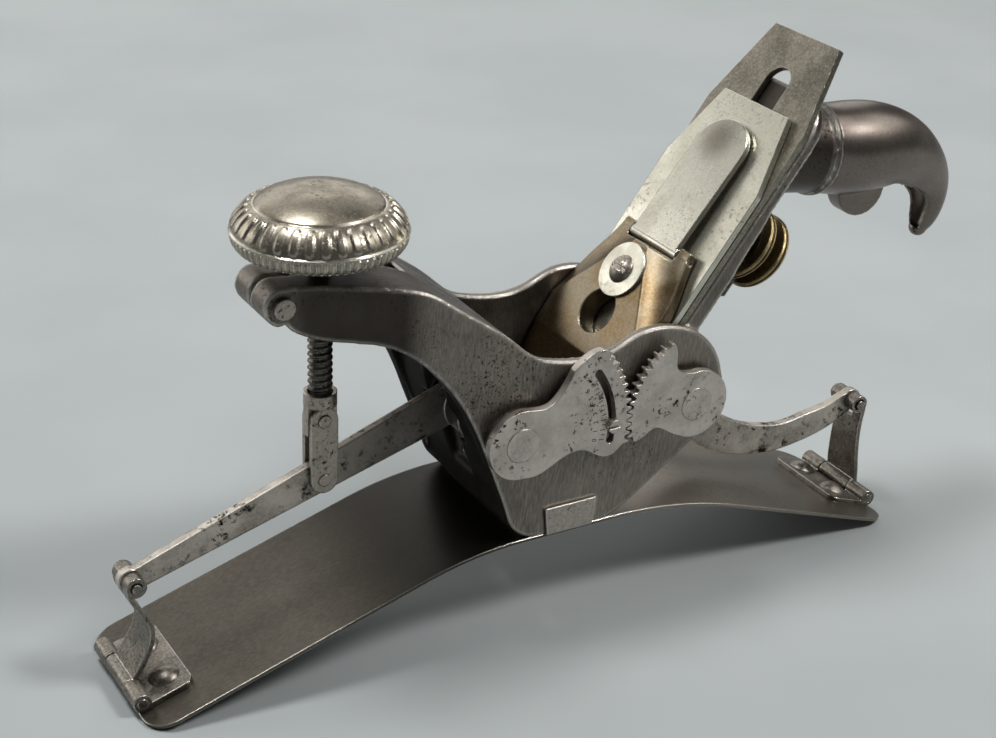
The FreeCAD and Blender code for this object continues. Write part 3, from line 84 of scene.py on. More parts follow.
lamp("lamp_above", (-0.42, 0.30, 1.72), (0, 0, 0.04), (0.55, 0.45), 18.0, (1.0, 0.99, 0.98))
lamp("lamp_front_right", (0.90, -0.84, 1.46), (0, 0, 0.04), (0.42, 0.42), 19.0, (1.0, 0.98, 0.96))
lamp("panel_right", (0.95, -0.22, 0.80), (0.02, 0, 0.06), (0.8, 0.5), 2.6, (1.0, 0.98, 0.95))
lamp("panel_back", (0.40, 1.10, 0.72), (0.02, 0, 0.05), (1.6, 0.9), 5.5, (1.0, 0.98, 0.95))
lamp("panel_left", (-0.75, 1.0, 0.45), (0.02, 0, 0.08), (1.2, 0.6), 5.0, (1.0, 0.98, 0.95))
world = bpy.data.worlds.new("world")
world.use_nodes = True
world.node_tree.nodes["Background"].inputs["Color"].default_value = (0.82, 0.86, 0.9, 1)
world.node_tree.nodes["Background"].inputs["Strength"].default_value = 0.06
scene.world = world


# The floor is a pale grey-blue cloth, matt and laid flat. It reaches four metres each way, so that it
# fills every view, and differs a little in colour where it was folded.
class Wire:
    """A value inside a material. Sums and products of wires add their own Math nodes."""

    def __init__(self, tree, socket=None):
        self.tree, self.socket = tree, socket

    def node(self, kind, settings=None, sockets=None, out=0):
        """A new node with its settings and its sockets' values or links, as a wire from one of its outputs."""
        made = self.tree.nodes.new(kind)
        for name, value in (settings or {}).items():
            setattr(made, name, value)
        for name, value in (sockets or {}).items():
            if isinstance(value, Wire):
                self.tree.links.new(value.socket, made.inputs[name])
            else:
                made.inputs[name].default_value = value
        return Wire(self.tree, made.outputs[out])

    def maths(self, operation, *values, clamp=False):
        settings = {"operation": operation, "use_clamp": clamp}
        return self.node("ShaderNodeMath", settings, dict(enumerate(values)))

    def __add__(self, other):
        return self.maths("ADD", self, other)

    def __sub__(self, other):
        return self.maths("SUBTRACT", self, other)

    def __rsub__(self, other):
        return self.maths("SUBTRACT", other, self)

    def __mul__(self, other):
        return self.maths("MULTIPLY", self, other)

    __radd__, __rmul__ = __add__, __mul__

    def __abs__(self):
        return self.maths("ABSOLUTE", self)

    def clamped(self):
        return self.maths("ADD", self, 0.0, clamp=True)

    def parts(self):
        """The x, y and z of a vector."""
        return [self.node("ShaderNodeSeparateXYZ", {}, {0: self}, out=k) for k in range(3)]

    def ramp(self, low, high):
        """0 below low, 1 above high, smooth between."""
        return self.node("ShaderNodeMapRange", {"interpolation_type": "SMOOTHSTEP"}, {0: self, 1: low, 2: high})

    def blend(self, first, second):
        """A colour: the first where this is 0, the second where it is 1."""
        first, second = [(*c, 1) if isinstance(c, tuple) else c for c in (first, second)]
        return self.node("ShaderNodeMix", {"data_type": "RGBA"}, {0: self, 6: first, 7: second}, out=2)


def start(name):
    """A new material, a blank wire from which its first nodes are made, and its shader."""
    material = bpy.data.materials.new(name)
    material.use_nodes = True
    return material, Wire(material.node_tree), material.node_tree.nodes["Principled BSDF"]


def feed(shader, name, value):
    """Gives one of the shader's sockets a number, a colour or a wire."""
    if isinstance(value, Wire):
        value.tree.links.new(value.socket, shader.inputs[name])
    else:
        shader.inputs[name].default_value = (*value, 1) if isinstance(value, tuple) else value


floor_reach, fold_scale = 4, 9.0
floor_mesh = bpy.data.meshes.new("floor")
floor_mesh.from_pydata([(x * floor_reach, y * floor_reach, 0) for x, y in ((-1, -1), (1, -1), (1, 1), (-1, 1))],
                       [], [(0, 1, 2, 3)])
floor = bpy.data.objects.new("floor", floor_mesh)
scene.collection.objects.link(floor)
cloth, blank, shader = start("pale_cloth")
place = blank.node("ShaderNodeTexCoord", out="Object")
folds = blank.node("ShaderNodeTexNoise", {}, {"Vector": place, "Scale": fold_scale, "Detail": 3.0})
feed(shader, "Base Color", folds.ramp(0.3, 0.7).blend((0.362, 0.392, 0.397), (0.392, 0.423, 0.428)))
feed(shader, "Roughness", 0.95)
feed(shader, "Specular IOR Level", 0.15)
floor_mesh.materials.append(cloth)


# The body is one casting in grey iron: two cheeks, a front wall, and an arm that ends in a split nose for
# the spindle. It was once coated in black japan, which is left inside and on the low parts, where painted
# shade makes the low parts and the faces turned to the front near black. Elsewhere the iron is worn brown
# and pitted, with bright rims that are partly a painted highlight. Casting and handling leave every edge
# a little round.
def aged_metal(name, base, stain, bright, pit=(0.02, 0.016, 0.013), rough=(0.34, 0.58), grain=0.0007,
               grain_share=0.35, brushed=(1, 1, 1), lean=0.0, patch=0.02, patch_detail=6.0, pits=0.25,
               pit_size=0.0011, gather=(0.42, 0.62), blots=None, edge=0.0006, edge_gain=7.0, edge_share=1.0,
               relief=0.00003, skin_stain_or_shade=None, seed=0.0):
    """Old metal: patches of stain on a base colour, dark pits, fine grain, and bright edges that are partly
    worn and partly a painted highlight.

    Sizes are in metres. Stained patches have the second roughness. The grain is drawn out by the factors
    in brushed, turned by lean. Pits lie where gather says, and blots are larger dark spots: their size, and
    the noise at which they begin and are full. Edges are eased over edge, and shine by edge_gain up to
    edge_share; the bright edges are partly worn metal and partly a painted highlight. A function given for
    the darker coat says where a darker coat, stain or painted shade is laid, its colour, and how much of the
    bright edges stays.
    """
    material, blank, shader = start(name)
    place = blank.node("ShaderNodeTexCoord", out="Object")
    drawn = blank.node("ShaderNodeMapping", {"vector_type": "TEXTURE"},
                       {"Vector": place, "Rotation": (0, lean, 0), "Scale": brushed})

    def noise(shift, scale, detail, roughness, at=place):
        return blank.node("ShaderNodeTexNoise", {"noise_dimensions": "4D"}, {
            "Vector": at, "W": seed + shift, "Scale": scale, "Detail": detail, "Roughness": roughness})

    patches = noise(0.0, 1 / patch, patch_detail, 0.62)
    fine = noise(3.1, 1 / grain, 4.0, 0.6, at=drawn)
    specks = noise(7.7, 1 / pit_size, 3.0, 0.7)
    gathered = noise(5.3, 0.7 / patch, 3.0, 0.5)
    pitted = specks.ramp(0.55, 0.63) * gathered.ramp(*gather) * pits
    if blots:
        blot_size, blot_starts, blot_full = blots
        pitted = pitted + noise(2.2, 1 / blot_size, 6.0, 0.72).ramp(blot_starts, blot_full)
    pitted = pitted.clamped()
    stained = patches.ramp(0.38, 0.64)

    rounded = blank.node("ShaderNodeBevel", {"samples": 6}, {"Radius": edge})
    flat = blank.node("ShaderNodeNewGeometry", out="Normal")
    along = blank.node("ShaderNodeVectorMath", {"operation": "DOT_PRODUCT"}, {0: rounded, 1: flat}, out="Value")
    # Bright edges: partly worn metal and partly a painted highlight where the rims catch the light.
    worn_and_highlit_edges = ((1 - along) * edge_gain * (fine * 0.8 + 0.6)).clamped() * edge_share

    colour = stained.blend(base, stain)
    colour = (fine.ramp(0.35, 0.75) * grain_share).blend(colour, bright)
    dulled = 0.0
    # A darker coat or stain, and on the body and sole painted shade, is laid over the colour and dims the
    # bright edges.
    if skin_stain_or_shade:
        where, dark, kept = skin_stain_or_shade(place, flat)
        colour = (where * (0.8 + patches * 0.35)).clamped().blend(colour, dark)
        worn_and_highlit_edges = worn_and_highlit_edges * kept
        dulled = (1 - kept) * 0.4
    colour = pitted.blend(colour, pit)
    feed(shader, "Base Color", worn_and_highlit_edges.blend(colour, bright))
    feed(shader, "Metallic", 0.9)
    roughness = stained * (rough[1] - rough[0]) + rough[0] + pitted * 0.3 - worn_and_highlit_edges * 0.16 + dulled
    feed(shader, "Roughness", roughness.clamped())
    feed(shader, "Normal", blank.node("ShaderNodeBump", {}, {
        "Strength": 0.7, "Distance": relief, "Height": fine * 0.5 - pitted * 2.0, "Normal": rounded}))
    return material


def japan_and_painted_shade(place, flat):
    """Where the black japan is left, inside the cheeks, under the arm and on the arm's sides, and painted
    shade:
    faces turned to the front are darkened too, the low parts under the arm are near black, where shade falls,
    and faces turned up are a little lighter.
    """
    x, y, z = place.parts()
    facing_back, _, facing_up = flat.parts()
    inside = 1 - abs(y).ramp(0.0205, 0.0235)
    sheltered = 1 - (1 - inside) * facing_back.ramp(-0.85, -0.5)
    where = sheltered * (x.ramp(-0.080, -0.070) * 0.7 + 0.3)
    # Painted shade: near black low down under the arm, lighter higher up.
    high = z.ramp(0.070, 0.088)
    dark = high.blend((0.011, 0.009, 0.008), (0.048, 0.040, 0.033))
    return where * (1 - facing_up.ramp(0.25, 0.75) * 0.1), dark, 1 - where * (1 - high) * 0.9


def recast(node, body, name, material, grid, rounds):
    """A copy of a solid on a fine grid, with its edges eased as casting and handling leave them."""
    made = bpy.data.objects.new(name, nodes[node].data.copy())
    scene.collection.objects.link(made)
    remesh = made.modifiers.new("remesh", "REMESH")
    remesh.mode, remesh.voxel_size, remesh.use_smooth_shade = "VOXEL", grid, True
    ease = made.modifiers.new("ease", "SMOOTH")
    ease.factor, ease.iterations = 0.5, rounds
    bpy.context.view_layer.update()
    mesh = bpy.data.meshes.new_from_object(made.evaluated_get(bpy.context.evaluated_depsgraph_get()))
    made.modifiers.clear()
    made.data = mesh
    mesh.name = name
    mesh.materials.clear()
    mesh.materials.append(material)
    for polygon in mesh.polygons:
        polygon.use_smooth = True
    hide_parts(node)
    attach(made, body)


grey_iron = aged_metal(
    "grey_iron", (0.125, 0.107, 0.090), (0.205, 0.180, 0.153), (0.86, 0.82, 0.75), pit=(0.022, 0.018, 0.015),
    rough=(0.36, 0.5), grain=0.00045, grain_share=0.17, brushed=(0.7, 1.0, 7.0), lean=0.12, patch=0.022,
    pits=1.0, pit_size=0.0007, edge=0.0016, edge_gain=14.0, relief=0.00005, skin_stain_or_shade=japan_and_painted_shade, seed=1.0)
recast("body_casting", "body", "cast_body", grey_iron, grid=0.00045, rounds=3)


# A dovetailed block of steel is riveted to the middle of the sole. It slides sideways into the casting,
# which locks the sole to the body, and its end is filed flush with the near cheek.
block_steel = aged_metal("block_steel", (0.30, 0.265, 0.23), (0.40, 0.36, 0.32), (0.7, 0.67, 0.62), pits=0.5,
                         seed=2.5)


def wear(material, *names):
    """Puts a finish on solids that keep their own shape."""
    for name in names:
        mesh = nodes[name].data
        mesh.materials.clear()
        mesh.materials.append(material)


wear(block_steel, "dovetail_block")


# The flexible sole is one strip of spring steel, 1 mm thick, straight and bent down on both sides of the
# block, with rounded corners and a mouth for the iron. It is smooth and brown-grey, with bright edges that
# are partly a painted highlight, and painted shade and reflection make it near black below the arm.
# Each side is made of a root and a leaf.
def shade_under_arm_and_brown_rear(place, flat):
    """Painted shadow and reflection: the front half below the arm is near black, as the arm shades it and it
    mirrors the dark front wall. The rear half is brown.
    """
    x = place.parts()[0]
    # Painted shade and reflection: near black at the front below the arm, brown behind.
    dark = x.ramp(0.0, 0.03).blend((0.010, 0.009, 0.007), (0.25, 0.222, 0.188))
    return x.ramp(-0.080, -0.040) * 0.85, dark, 1


sole_steel = aged_metal(
    "sole_steel", (0.068, 0.061, 0.048), (0.100, 0.089, 0.070), (0.62, 0.59, 0.53), rough=(0.33, 0.42),
    grain=0.0006, grain_share=0.06, brushed=(5.0, 1.0, 1.0), patch=0.06, pits=0.25, edge=0.0007, edge_gain=6.0,
    relief=0.000006, skin_stain_or_shade=shade_under_arm_and_brown_rear, seed=2.0)
sole_thick, sole_half, crown, corner_r = 0.001, 0.0254, 0.0306, 0.008


class Strip:
    """The sole's top line from the body to one end, by the distance along it."""

    def __init__(self, side, end_x, flat_x, radius):
        self.side, self.radius, self.flat = side, radius, abs(flat_x)
        run, gentle, steep = abs(end_x - flat_x), 0.0, 0.8
        for _ in range(60):
            slope = (gentle + steep) / 2
            self.straight = (run - radius * math.sin(slope)) / math.cos(slope)
            lower = (crown - radius * (1 - math.cos(slope)) - self.straight * math.sin(slope)
                     - sole_thick * math.cos(slope))
            gentle, steep = (slope, steep) if lower > 0 else (gentle, slope)
        self.slope = gentle
        self.bend = self.slope * radius
        self.length = self.flat + self.bend + self.straight

    def at(self, s):
        """Point and normal at a distance s from the middle of the sole."""
        if s < self.flat:
            return Vector((self.side * s, 0, crown)), Vector((0, 0, 1))
        a = min((s - self.flat) / self.radius, self.slope)
        rest = max(s - self.flat - self.slope * self.radius, 0)
        x = self.flat + self.radius * math.sin(a) + rest * math.cos(a)
        z = crown - self.radius * (1 - math.cos(a)) - rest * math.sin(a)
        return Vector((self.side * x, 0, z)), Vector((self.side * math.sin(a), 0, math.cos(a)))

    def half_at(self, s):
        """Half the width at a distance s, less at the rounded corners of the end."""
        over = max(s - (self.length - corner_r), 0)
        return sole_half - corner_r + math.sqrt(max(corner_r ** 2 - over ** 2, 1e-9))


def shaped(name, work, sharp):
    """An object from built-up faces, smooth but for edges with more than the given angle in degrees."""
    bmesh.ops.recalc_face_normals(work, faces=work.faces)
    mesh = bpy.data.meshes.new(name)
    work.to_mesh(mesh)
    work.free()
    for polygon in mesh.polygons:
        polygon.use_smooth = True
    mesh.set_sharp_from_angle(angle=math.radians(sharp))
    made = bpy.data.objects.new(name, mesh)
    scene.collection.objects.link(made)
    return made


def sheet(name, strip, stations, columns, half_at, hole=None):
    """A strip of even thickness. Columns are shares of the half width; a hole is its two x and half its y."""
    work = bmesh.new()
    top, under = {}, {}
    for i, s in enumerate(stations):
        point, normal = strip.at(s)
        for j, share in enumerate(columns):
            y = share * half_at(s)
            top[i, j] = work.verts.new(point + Vector((0, y, 0)))
            under[i, j] = work.verts.new(point - normal * sole_thick + Vector((0, y, 0)))
    last = len(stations) - 1
    solid = set()
    for i in range(last):
        for j in range(len(columns) - 1):
            x = strip.side * (stations[i] + stations[i + 1]) / 2
            y = (columns[j] + columns[j + 1]) / 2 * sole_half
            if not (hole and hole[0] < x < hole[1] and abs(y) < hole[2]):
                solid.add((i, j))

    def face(*corners):
        work.faces.new(corners[::-1] if strip.side < 0 else corners)

    for i, j in solid:
        face(top[i, j], top[i + 1, j], top[i + 1, j + 1], top[i, j + 1])
        face(under[i, j], under[i, j + 1], under[i + 1, j + 1], under[i + 1, j])
        sides = (((i - 1, j), (i, j), (i, j + 1)), ((i + 1, j), (i + 1, j + 1), (i + 1, j)),
                 ((i, j - 1), (i + 1, j), (i, j)), ((i, j + 1), (i, j + 1), (i + 1, j + 1)))
        for beyond, p, q in sides:
            row = beyond[0]
            meets_next = row != i and row in (-1, last) and stations[max(row, 0)] < strip.length - 1e-6
            if beyond not in solid and not meets_next:
                face(top[q], top[p], under[p], under[q])
    bmesh.ops.delete(work, geom=[v for v in work.verts if not v.link_faces], context="VERTS")
    made = shaped(name, work, sharp=50)
    made.data.materials.append(sole_steel)
    return made


def spread(first, last, count):
    return [first + (last - first) * k / count for k in range(count + 1)]


mouth = (-0.009, -0.0017, 0.0225)        # its two edges along the sole, and half its width
mouth_share = mouth[2] / sole_half
root_columns = [-1, -0.945, -mouth_share, -0.6, -0.3, 0, 0.3, 0.6, mouth_share, 0.945, 1]
leaf_columns = [c / 8 for c in range(-8, 9)]
front_strip = Strip(-1, -0.1235, -0.012, 0.105)
rear_strip = Strip(1, 0.125, 0.016, 0.140)
for strip, tag, body_bend, body_flap, names in (
        (front_strip, "front", "front_bend", "front_flap", ("sole_front_bend", "sole_front_end")),
        (rear_strip, "rear", "rear_bend", "rear_flap", ("sole_rear_bend", "sole_rear_end"))):
    middle = strip.flat + strip.bend * 0.5
    joints = [strip.flat + strip.bend * share for share in (0.25, 0.75)]
    reach = strip.bend * 0.2
    inner = spread(0, strip.flat, 12) + spread(strip.flat, middle, 24)[1:]
    if tag == "front":
        cuts = [-mouth[1], -mouth[0]]
        inner = sorted(set([s for s in inner if all(abs(s - cut) > 0.0004 for cut in cuts)] + cuts))
    outer = (spread(middle, strip.length - corner_r, 50)
             + [strip.length - corner_r + corner_r * math.sin(math.pi / 2 * k / 14) for k in range(1, 15)])
    near = sheet("sole_%s_root" % tag, strip, inner, root_columns, lambda s: sole_half,
                 mouth if tag == "front" else None)
    far = sheet("sole_%s_leaf" % tag, strip, outer, leaf_columns, strip.half_at)
    a, b = [strip.at(joints[0] + k * reach)[0] for k in (-1, 1)]
    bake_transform(near)
    a, b = [strip.at(joints[1] + k * reach)[0] for k in (-1, 1)]
    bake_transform(far)
    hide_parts("sole_middle")
    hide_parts(*names)


# The front and rear levers are wrought bars, blotched brown with old rust, that reach from the body to the
# ends of the sole. Each is fixed to a turned steel shaft that runs through both cheeks.
def near_body(place, flat):
    """The ends beside the cheeks, which are dark."""
    x = place.parts()[0]
    return (1 - abs(x).ramp(0.040, 0.078)) * 0.75, (0.045, 0.038, 0.031), 1


lever_iron = aged_metal(
    "lever_iron", (0.32, 0.284, 0.242), (0.62, 0.57, 0.50), (0.70, 0.67, 0.62), rough=(0.38, 0.6), patch=0.010,
    pits=1.0, pit_size=0.0020, blots=(0.0055, 0.54, 0.68), edge=0.0008, edge_gain=4.0, relief=0.00004,
    skin_stain_or_shade=near_body, seed=3.0)
wear(lever_iron, "front_lever", "rear_lever")
shaft_steel = aged_metal(
    "shaft_steel", (0.39, 0.35, 0.31), (0.58, 0.53, 0.48), (0.7, 0.67, 0.62), patch=0.006, pits=0.8,
    blots=(0.004, 0.60, 0.72), edge_share=0.35, seed=3.5)
wear(shaft_steel, "front_shaft", "rear_shaft")


# The toothed quadrants are flat steel plates with cut teeth, fixed to the shafts outside the near cheek, so
# that one lever turns the other. They are rubbed grey and freckled with small dark pits. The index screw
# goes through the slot of the front one.
quadrant_steel = aged_metal(
    "quadrant_steel", (0.41, 0.368, 0.326), (0.60, 0.55, 0.50), (0.70, 0.67, 0.62), pit=(0.05, 0.040, 0.032),
    rough=(0.36, 0.5), grain=0.0004, grain_share=0.22, brushed=(0.8, 1.0, 8.0), lean=-0.9, patch=0.01,
    pits=1.0, pit_size=0.0019, gather=(0.44, 0.60), blots=(0.0048, 0.60, 0.74), edge=0.0005, edge_gain=6.0,
    relief=0.00003, seed=4.0)
wear(quadrant_steel, "front_quadrant", "rear_quadrant")
wear(shaft_steel, "index_screw")


# A scale is stamped in the front quadrant beside its slot: a tick for each step, longer at every second
# one, which also has a figure. The marks are full of old dirt, and stand a hair above the plate here.
stamp, blank, shader = start("stamped_marks")
place = blank.node("ShaderNodeTexCoord", out="Object")
dirt = blank.node("ShaderNodeTexNoise", {}, {"Vector": place, "Scale": 900.0})
feed(shader, "Base Color", (0.035, 0.03, 0.026))
feed(shader, "Metallic", 0.6)
feed(shader, "Roughness", dirt.ramp(0.2, 0.8) * 0.3 + 0.5)
pivot = Vector((-0.0169, -0.0300, 0.0638))
scale_r, tick_long, tick_wide, tick_proud = 0.0264, 0.0011, 0.00022, 0.00003
first_tick, tick_step, tick_count, figure_r, figure_high = -9, 3.4, 13, 0.0264 - 0.0031, 0.0021


def scale_ways(step):
    """At one tick of the scale, the way out from the pivot and the way along the slot."""
    angle = math.radians(first_tick + tick_step * step)
    return Vector((math.cos(angle), 0, math.sin(angle))), Vector((-math.sin(angle), 0, math.cos(angle)))


work = bmesh.new()
for step in range(tick_count):
    out, along = scale_ways(step)
    long = tick_long * (1.5 if step % 2 == 0 else 1)
    centre = pivot + out * (scale_r - long / 2)
    corners = [centre + out * a * long / 2 + along * b * tick_wide / 2
               for a, b in ((-1, -1), (1, -1), (1, 1), (-1, 1))]
    low = [work.verts.new(c + Vector((0, tick_proud, 0))) for c in corners]
    high = [work.verts.new(c - Vector((0, tick_proud, 0))) for c in corners]
    work.faces.new(low)
    work.faces.new(high[::-1])
    for k in range(4):
        n = (k + 1) % 4
        work.faces.new((low[k], high[k], high[n], low[n]))
slot_scale = shaped("slot_scale", work, sharp=30)
slot_scale.data.materials.append(stamp)
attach(slot_scale, "front_lever")
for step in range(0, tick_count, 2):
    out, up = scale_ways(step)
    words = bpy.data.curves.new("figure_%d" % (step // 2), "FONT")
    words.body, words.size, words.extrude = str(step // 2), figure_high, tick_proud
    words.align_x, words.align_y = "CENTER", "CENTER"
    words.materials.append(stamp)
    figure = bpy.data.objects.new("figure_%d" % (step // 2), words)
    figure.matrix_world = Matrix((up, -out, Vector((0, -1, 0)))).transposed().to_4x4()
    figure.location = pivot + out * figure_r
    scene.collection.objects.link(figure)
    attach(figure, "front_lever")


# Each end of the sole hangs from its lever. A pressed steel leaf with a rolled barrel is held on the sole by
# domed rivets, and a shackle on its pin joins it to the pin in the lever's end. Their high places are bright.
hinge_steel = aged_metal(
    "hinge_steel", (0.12, 0.105, 0.083), (0.19, 0.17, 0.14), (0.6, 0.58, 0.54), rough=(0.30, 0.5), patch=0.006,
    pits=0.8, pit_size=0.0009, edge=0.0006, edge_gain=5.0, seed=5.0)
wear(hinge_steel, "front_hinge_leaf", "front_hinge_rivets", "front_hinge_pin", "front_shackle",
     "front_lever_end_pin", "rear_hinge_leaf", "rear_hinge_rivets", "rear_hinge_pin", "rear_shackle",
     "rear_lever_end_pin")


# The knob is turned and nickelled, and worn to a soft grey. A shallow dome sits in a ring, a rounded band
# below it carries a row of raised reeds, and the rim is milled for the fingers.
knob_nickel = aged_metal(
    "knob_nickel", (0.31, 0.278, 0.215), (0.21, 0.186, 0.142), (0.78, 0.74, 0.66), pit=(0.05, 0.042, 0.034),
    rough=(0.27, 0.42), grain_share=0.2, patch=0.006, pits=0.8, edge=0.0007, edge_gain=7.0, seed=6.0)
knob_centre, knob_r, knob_rim_z, knob_h = Vector((-0.0632, 0, 0)), 0.0236, 0.1196, 0.016


def eased(points, steps):
    """Points on a smooth line through the given ones."""
    line = []
    for k in range(len(points) - 1):
        p0, p1, p2, p3 = [points[min(max(k + m, 0), len(points) - 1)] for m in (-1, 0, 1, 2)]
        for step in range(steps):
            t = step / steps
            line.append(tuple(0.5 * (2 * b + (c - a) * t + (2 * a - 5 * b + 4 * c - d) * t * t
                                     + (3 * b - a - 3 * c + d) * t ** 3) for a, b, c, d in zip(p0, p1, p2, p3)))
    return line + [tuple(points[-1])]


def lathe(name, profile, turns, place, relief, sharp=35):
    """A turned piece from its profile of (radius, height). Relief moves each point by its angle and place."""
    work = bmesh.new()
    rings = []
    for k, (r, h) in enumerate(profile):
        if r < 1e-6:
            rings.append([work.verts.new(place @ Vector((0, 0, h)))])
            continue
        ring = []
        for j in range(turns):
            a = 2 * math.pi * j / turns
            more_r, more_h = relief(a, k, r, h)
            at = Vector(((r + more_r) * math.cos(a), (r + more_r) * math.sin(a), h + more_h))
            ring.append(work.verts.new(place @ at))
        rings.append(ring)
    for low, high in zip(rings, rings[1:]):
        for j in range(turns):
            n = (j + 1) % turns
            corners = [low[j % len(low)], low[n % len(low)], high[n % len(high)], high[j % len(high)]]
            corners = [c for i, c in enumerate(corners) if c not in corners[:i]]
            if len(corners) > 2:
                work.faces.new(corners)
    if len(rings[0]) > 1 and len(rings[-1]) > 1:
        work.faces.new(rings[0][::-1])
        work.faces.new(rings[-1])
    return shaped(name, work, sharp)


def dress(made, material, body, slot, *replaced):
    made.data.materials.append(material)
    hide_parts(*replaced)
    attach(made, body)


under = [(0.148, -0.11), (0.38, -0.11), (0.41, -0.07), (0.44, 0.0), (0.87, 0.0), (0.905, 0.01)]
rim = eased([(0.925, 0.02), (0.955, 0.07), (0.978, 0.13), (0.987, 0.19), (0.989, 0.245)], 3)
groove = [(0.975, 0.256), (0.978, 0.264), (0.993, 0.270), (0.998, 0.285), (0.993, 0.300), (0.976, 0.308)]
band = eased([(0.972, 0.318), (0.955, 0.40), (0.915, 0.50), (0.86, 0.59), (0.80, 0.66), (0.755, 0.70)], 8)
ring = [(0.742, 0.712), (0.734, 0.712), (0.729, 0.706), (0.724, 0.708), (0.720, 0.722)]
dome = eased([(0.712, 0.742), (0.66, 0.79), (0.55, 0.865), (0.42, 0.925), (0.25, 0.975), (0.0, 0.995)], 5)
knob_profile = [(a * knob_r, b * knob_h) for a, b in under + rim + groove + band + ring + dome]
first_rim, first_band = len(under), len(under + rim + groove)
reeds, milling, milling_deep, reed_proud, raised_share = 34, 68, 0.00055, 0.0005, 0.62


def knob_relief(angle, k, r, h):
    """Notches in the rim, and oval reeds that stand out from the band and lean with its curve."""
    if first_rim <= k < first_rim + len(rim):
        across = abs(angle * milling / (2 * math.pi) % 1 - 0.5) * 2
        return (-milling_deep * min(max((raised_share - across) * 3, 0), 1), 0)
    if first_band <= k < first_band + len(band):
        along = (k - first_band) / (len(band) - 1)
        across = abs(angle * reeds / (2 * math.pi) % 1 - 0.5) * 2
        oval = (across / raised_share) ** 2 + abs((along - 0.5) / 0.43) ** 4
        rise = reed_proud * min(max((1 - oval) * 2.2, 0), 1)
        lean = along * math.pi / 2.2
        return (rise * math.cos(lean), rise * math.sin(lean))
    return (0, 0)


knob_place = Matrix.Translation(knob_centre + Vector((0, 0, knob_rim_z)))
knob = lathe("knob", knob_profile, milling * 12, knob_place, knob_relief)
dress(knob, knob_nickel, "knob", "lever_iron", "front_knob")


# The spindle is a dark steel screw of 2 mm lead. It is fixed in the knob, runs through the arm's nose, which
# a screw clamps, and turns in a flat clevis. Two straps on pins hang the front lever from the clevis.
spindle_steel = aged_metal("spindle_steel", (0.05, 0.043, 0.036), (0.10, 0.088, 0.075), (0.5, 0.48, 0.44),
                           patch=0.005, pits=0.6, edge_gain=5.0, seed=6.5)
thread_r, thread_lead, thread_depth, thread_rows = 0.00342, 0.002, 0.00055, 10
spindle_low, spindle_high, neck_h = 0.0743, 0.1196, 0.0028
row_count = int((spindle_high - spindle_low - neck_h) / thread_lead * thread_rows)
spindle_rows = [(thread_r - thread_depth, 0.0)]
spindle_rows += [(thread_r, neck_h + k * thread_lead / thread_rows) for k in range(row_count)]


def thread(angle, k, r, h):
    """A groove that winds up the spindle above its plain neck."""
    if h < neck_h:
        return (0, 0)
    across = abs((h / thread_lead - angle / (2 * math.pi)) % 1 - 0.5) * 2
    return (-thread_depth * min(max(across * 1.5 - 0.2, 0), 1), 0)


spindle_place = Matrix.Translation(knob_centre + Vector((0, 0, spindle_low)))
spindle = lathe("spindle", spindle_rows, 40, spindle_place, thread, sharp=70)
dress(spindle, spindle_steel, "knob", "bright_steel", "spindle")
clevis_steel = aged_metal("clevis_steel", (0.30, 0.265, 0.225), (0.46, 0.415, 0.355), (0.6, 0.57, 0.52),
                          patch=0.005, pits=0.9, blots=(0.004, 0.56, 0.70), seed=6.7)
wear(clevis_steel, "nose_clamp_screw", "spindle_clevis", "clevis_pin", "link_strap_near", "link_strap_far",
     "link_lower_pin")


# The cutter is a plate of tool steel, gone brown with age, that lies on the slanted bed. The nickelled cap
# iron lies on it and is held to it by a screw from below.
blade_steel = aged_metal("blade_steel", (0.165, 0.148, 0.110), (0.22, 0.20, 0.155), (0.6, 0.58, 0.52),
                         rough=(0.30, 0.48), patch=0.014, pits=0.4, edge=0.0004, seed=7.0)
wear(blade_steel, "cutter_iron")
nickel = aged_metal(
    "nickel", (0.56, 0.548, 0.46), (0.46, 0.445, 0.36), (0.75, 0.73, 0.66), pit=(0.12, 0.10, 0.08),
    rough=(0.26, 0.40), patch=0.012, pits=0.5, edge=0.0004, relief=0.000012, seed=8.0)
wear(nickel, "cap_iron")
wear(shaft_steel, "cap_iron_screw")


# The lever cap is cast in bronze with a keyhole, through which a screw with a nickelled washer holds it down.
# The nickelled thumb lever turns on a pin in the cap and presses the irons tight.
def thumbed(place, flat):
    """The brown patch near the tongue's end, where the thumb presses."""
    far = place.node("ShaderNodeVectorMath", {"operation": "DISTANCE"},
                     {0: place, 1: (0.0622, 0.002, 0.1307)}, out="Value")
    return (1 - far.ramp(0.002, 0.010)) * 0.7, (0.12, 0.098, 0.07), 1


bright_nickel = aged_metal(
    "bright_nickel", (0.56, 0.545, 0.465), (0.44, 0.42, 0.35), (0.8, 0.78, 0.70), pit=(0.12, 0.10, 0.08),
    rough=(0.26, 0.38), patch=0.012, pits=0.35, blots=(0.016, 0.60, 0.80), edge=0.0005, relief=0.000012,
    skin_stain_or_shade=thumbed, seed=8.5)
wear(bright_nickel, "thumb_lever")
bronze = aged_metal(
    "bronze", (0.132, 0.088, 0.040), (0.23, 0.195, 0.135), (0.65, 0.60, 0.50), rough=(0.28, 0.42),
    grain_share=0.12, patch=0.02, patch_detail=2.5, pits=0.2, edge=0.0008, seed=9.0)
recast("lever_cap", "lever_cap", "cap_casting", bronze, grid=0.00024, rounds=4)
wear(nickel, "cap_washer")
wear(clevis_steel, "lever_cap_screw")
wear(shaft_steel, "thumb_lever_pin")


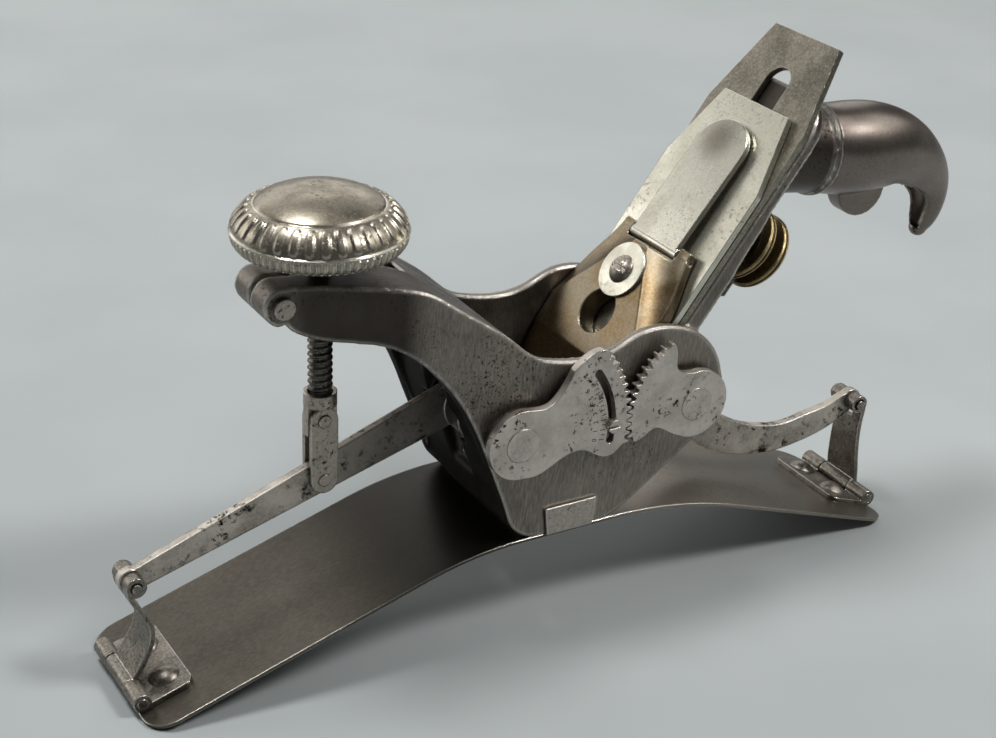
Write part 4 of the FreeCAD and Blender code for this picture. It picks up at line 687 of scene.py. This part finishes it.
# The adjusting nut is turned from brass as two knurled discs with a groove between them, and runs on a
# steel stud behind the bed. The yoke sits in its groove, turns on its pin and pushes the cutter along.
brass = aged_metal("brass", (0.20, 0.145, 0.065), (0.12, 0.085, 0.04), (0.55, 0.43, 0.23),
                   rough=(0.28, 0.45), patch=0.006, pits=0.3, seed=10.0)
bed_turn = math.radians(53.2)
bed_up = Vector((math.cos(bed_turn), 0, math.sin(bed_turn)))
bed_out = Vector((-math.sin(bed_turn), 0, math.cos(bed_turn)))
nut_place = Matrix.Translation(Vector((-0.0268, 0, 0)) + bed_up * 0.1381 + bed_out * -0.0266)
nut_place = nut_place @ Matrix((bed_up, Vector((0, 1, 0)), bed_out)).transposed().to_4x4()
nut_r, nut_half, groove_r, groove_half, bore_r = 0.012, 0.0047, 0.0058, 0.00162, 0.00328
knurls, knurl_deep = 96, 0.0002
ridges = [(0.0012, 0.0), (0.0004, 0.0003), (0.0001, 0.0008), (0.0, 0.0010), (0.0002, 0.0012), (0.0009, 0.0014),
          (0.0009, 0.0017), (0.0002, 0.0019), (0.0, 0.0021)]        # in from the rim, out from the groove
face = [(0.0005, 0.0002), (0.0012, 0.0), (0.0035, 0.0), (0.0042, 0.0006)]        # in from the rim and the face
disc = [(groove_r, groove_half)] + [(nut_r - a, groove_half + b) for a, b in ridges]
disc += [(nut_r - a, nut_half - b) for a, b in face]
disc += [(0.0052, nut_half - 0.0006), (0.0048, nut_half - 0.0001), (bore_r, nut_half - 0.0001)]
nut_profile = [(r, -h) for r, h in reversed(disc)] + disc
nut_profile.append(nut_profile[0])


def knurl(angle, k, r, h):
    """Teeth on the crests of the ridges."""
    if r < nut_r - 0.0006:
        return (0, 0)
    return (-knurl_deep * abs(angle * knurls / (2 * math.pi) % 1 - 0.5) * 2, 0)


nut = lathe("brass_nut", nut_profile, knurls * 4, nut_place, knurl)
dress(nut, brass, "nut", "brass", "adjusting_nut")
wear(spindle_steel, "adjusting_stud", "yoke_lever")
wear(shaft_steel, "yoke_pin")


# The handle is a horn of cast iron, hollow below, that a screw holds on its seat behind the bed. The hand
# has polished it dark and smooth.
horn_iron = aged_metal(
    "horn_iron", (0.15, 0.127, 0.110), (0.21, 0.18, 0.155), (0.55, 0.51, 0.47), rough=(0.31, 0.38),
    grain_share=0.1, patch=0.03, pits=0.2, edge=0.001, edge_gain=3.0, relief=0.000015, seed=11.0)
recast("rear_handle", "body", "horn_handle", horn_iron, grid=0.0004, rounds=6)
wear(shaft_steel, "handle_screw")
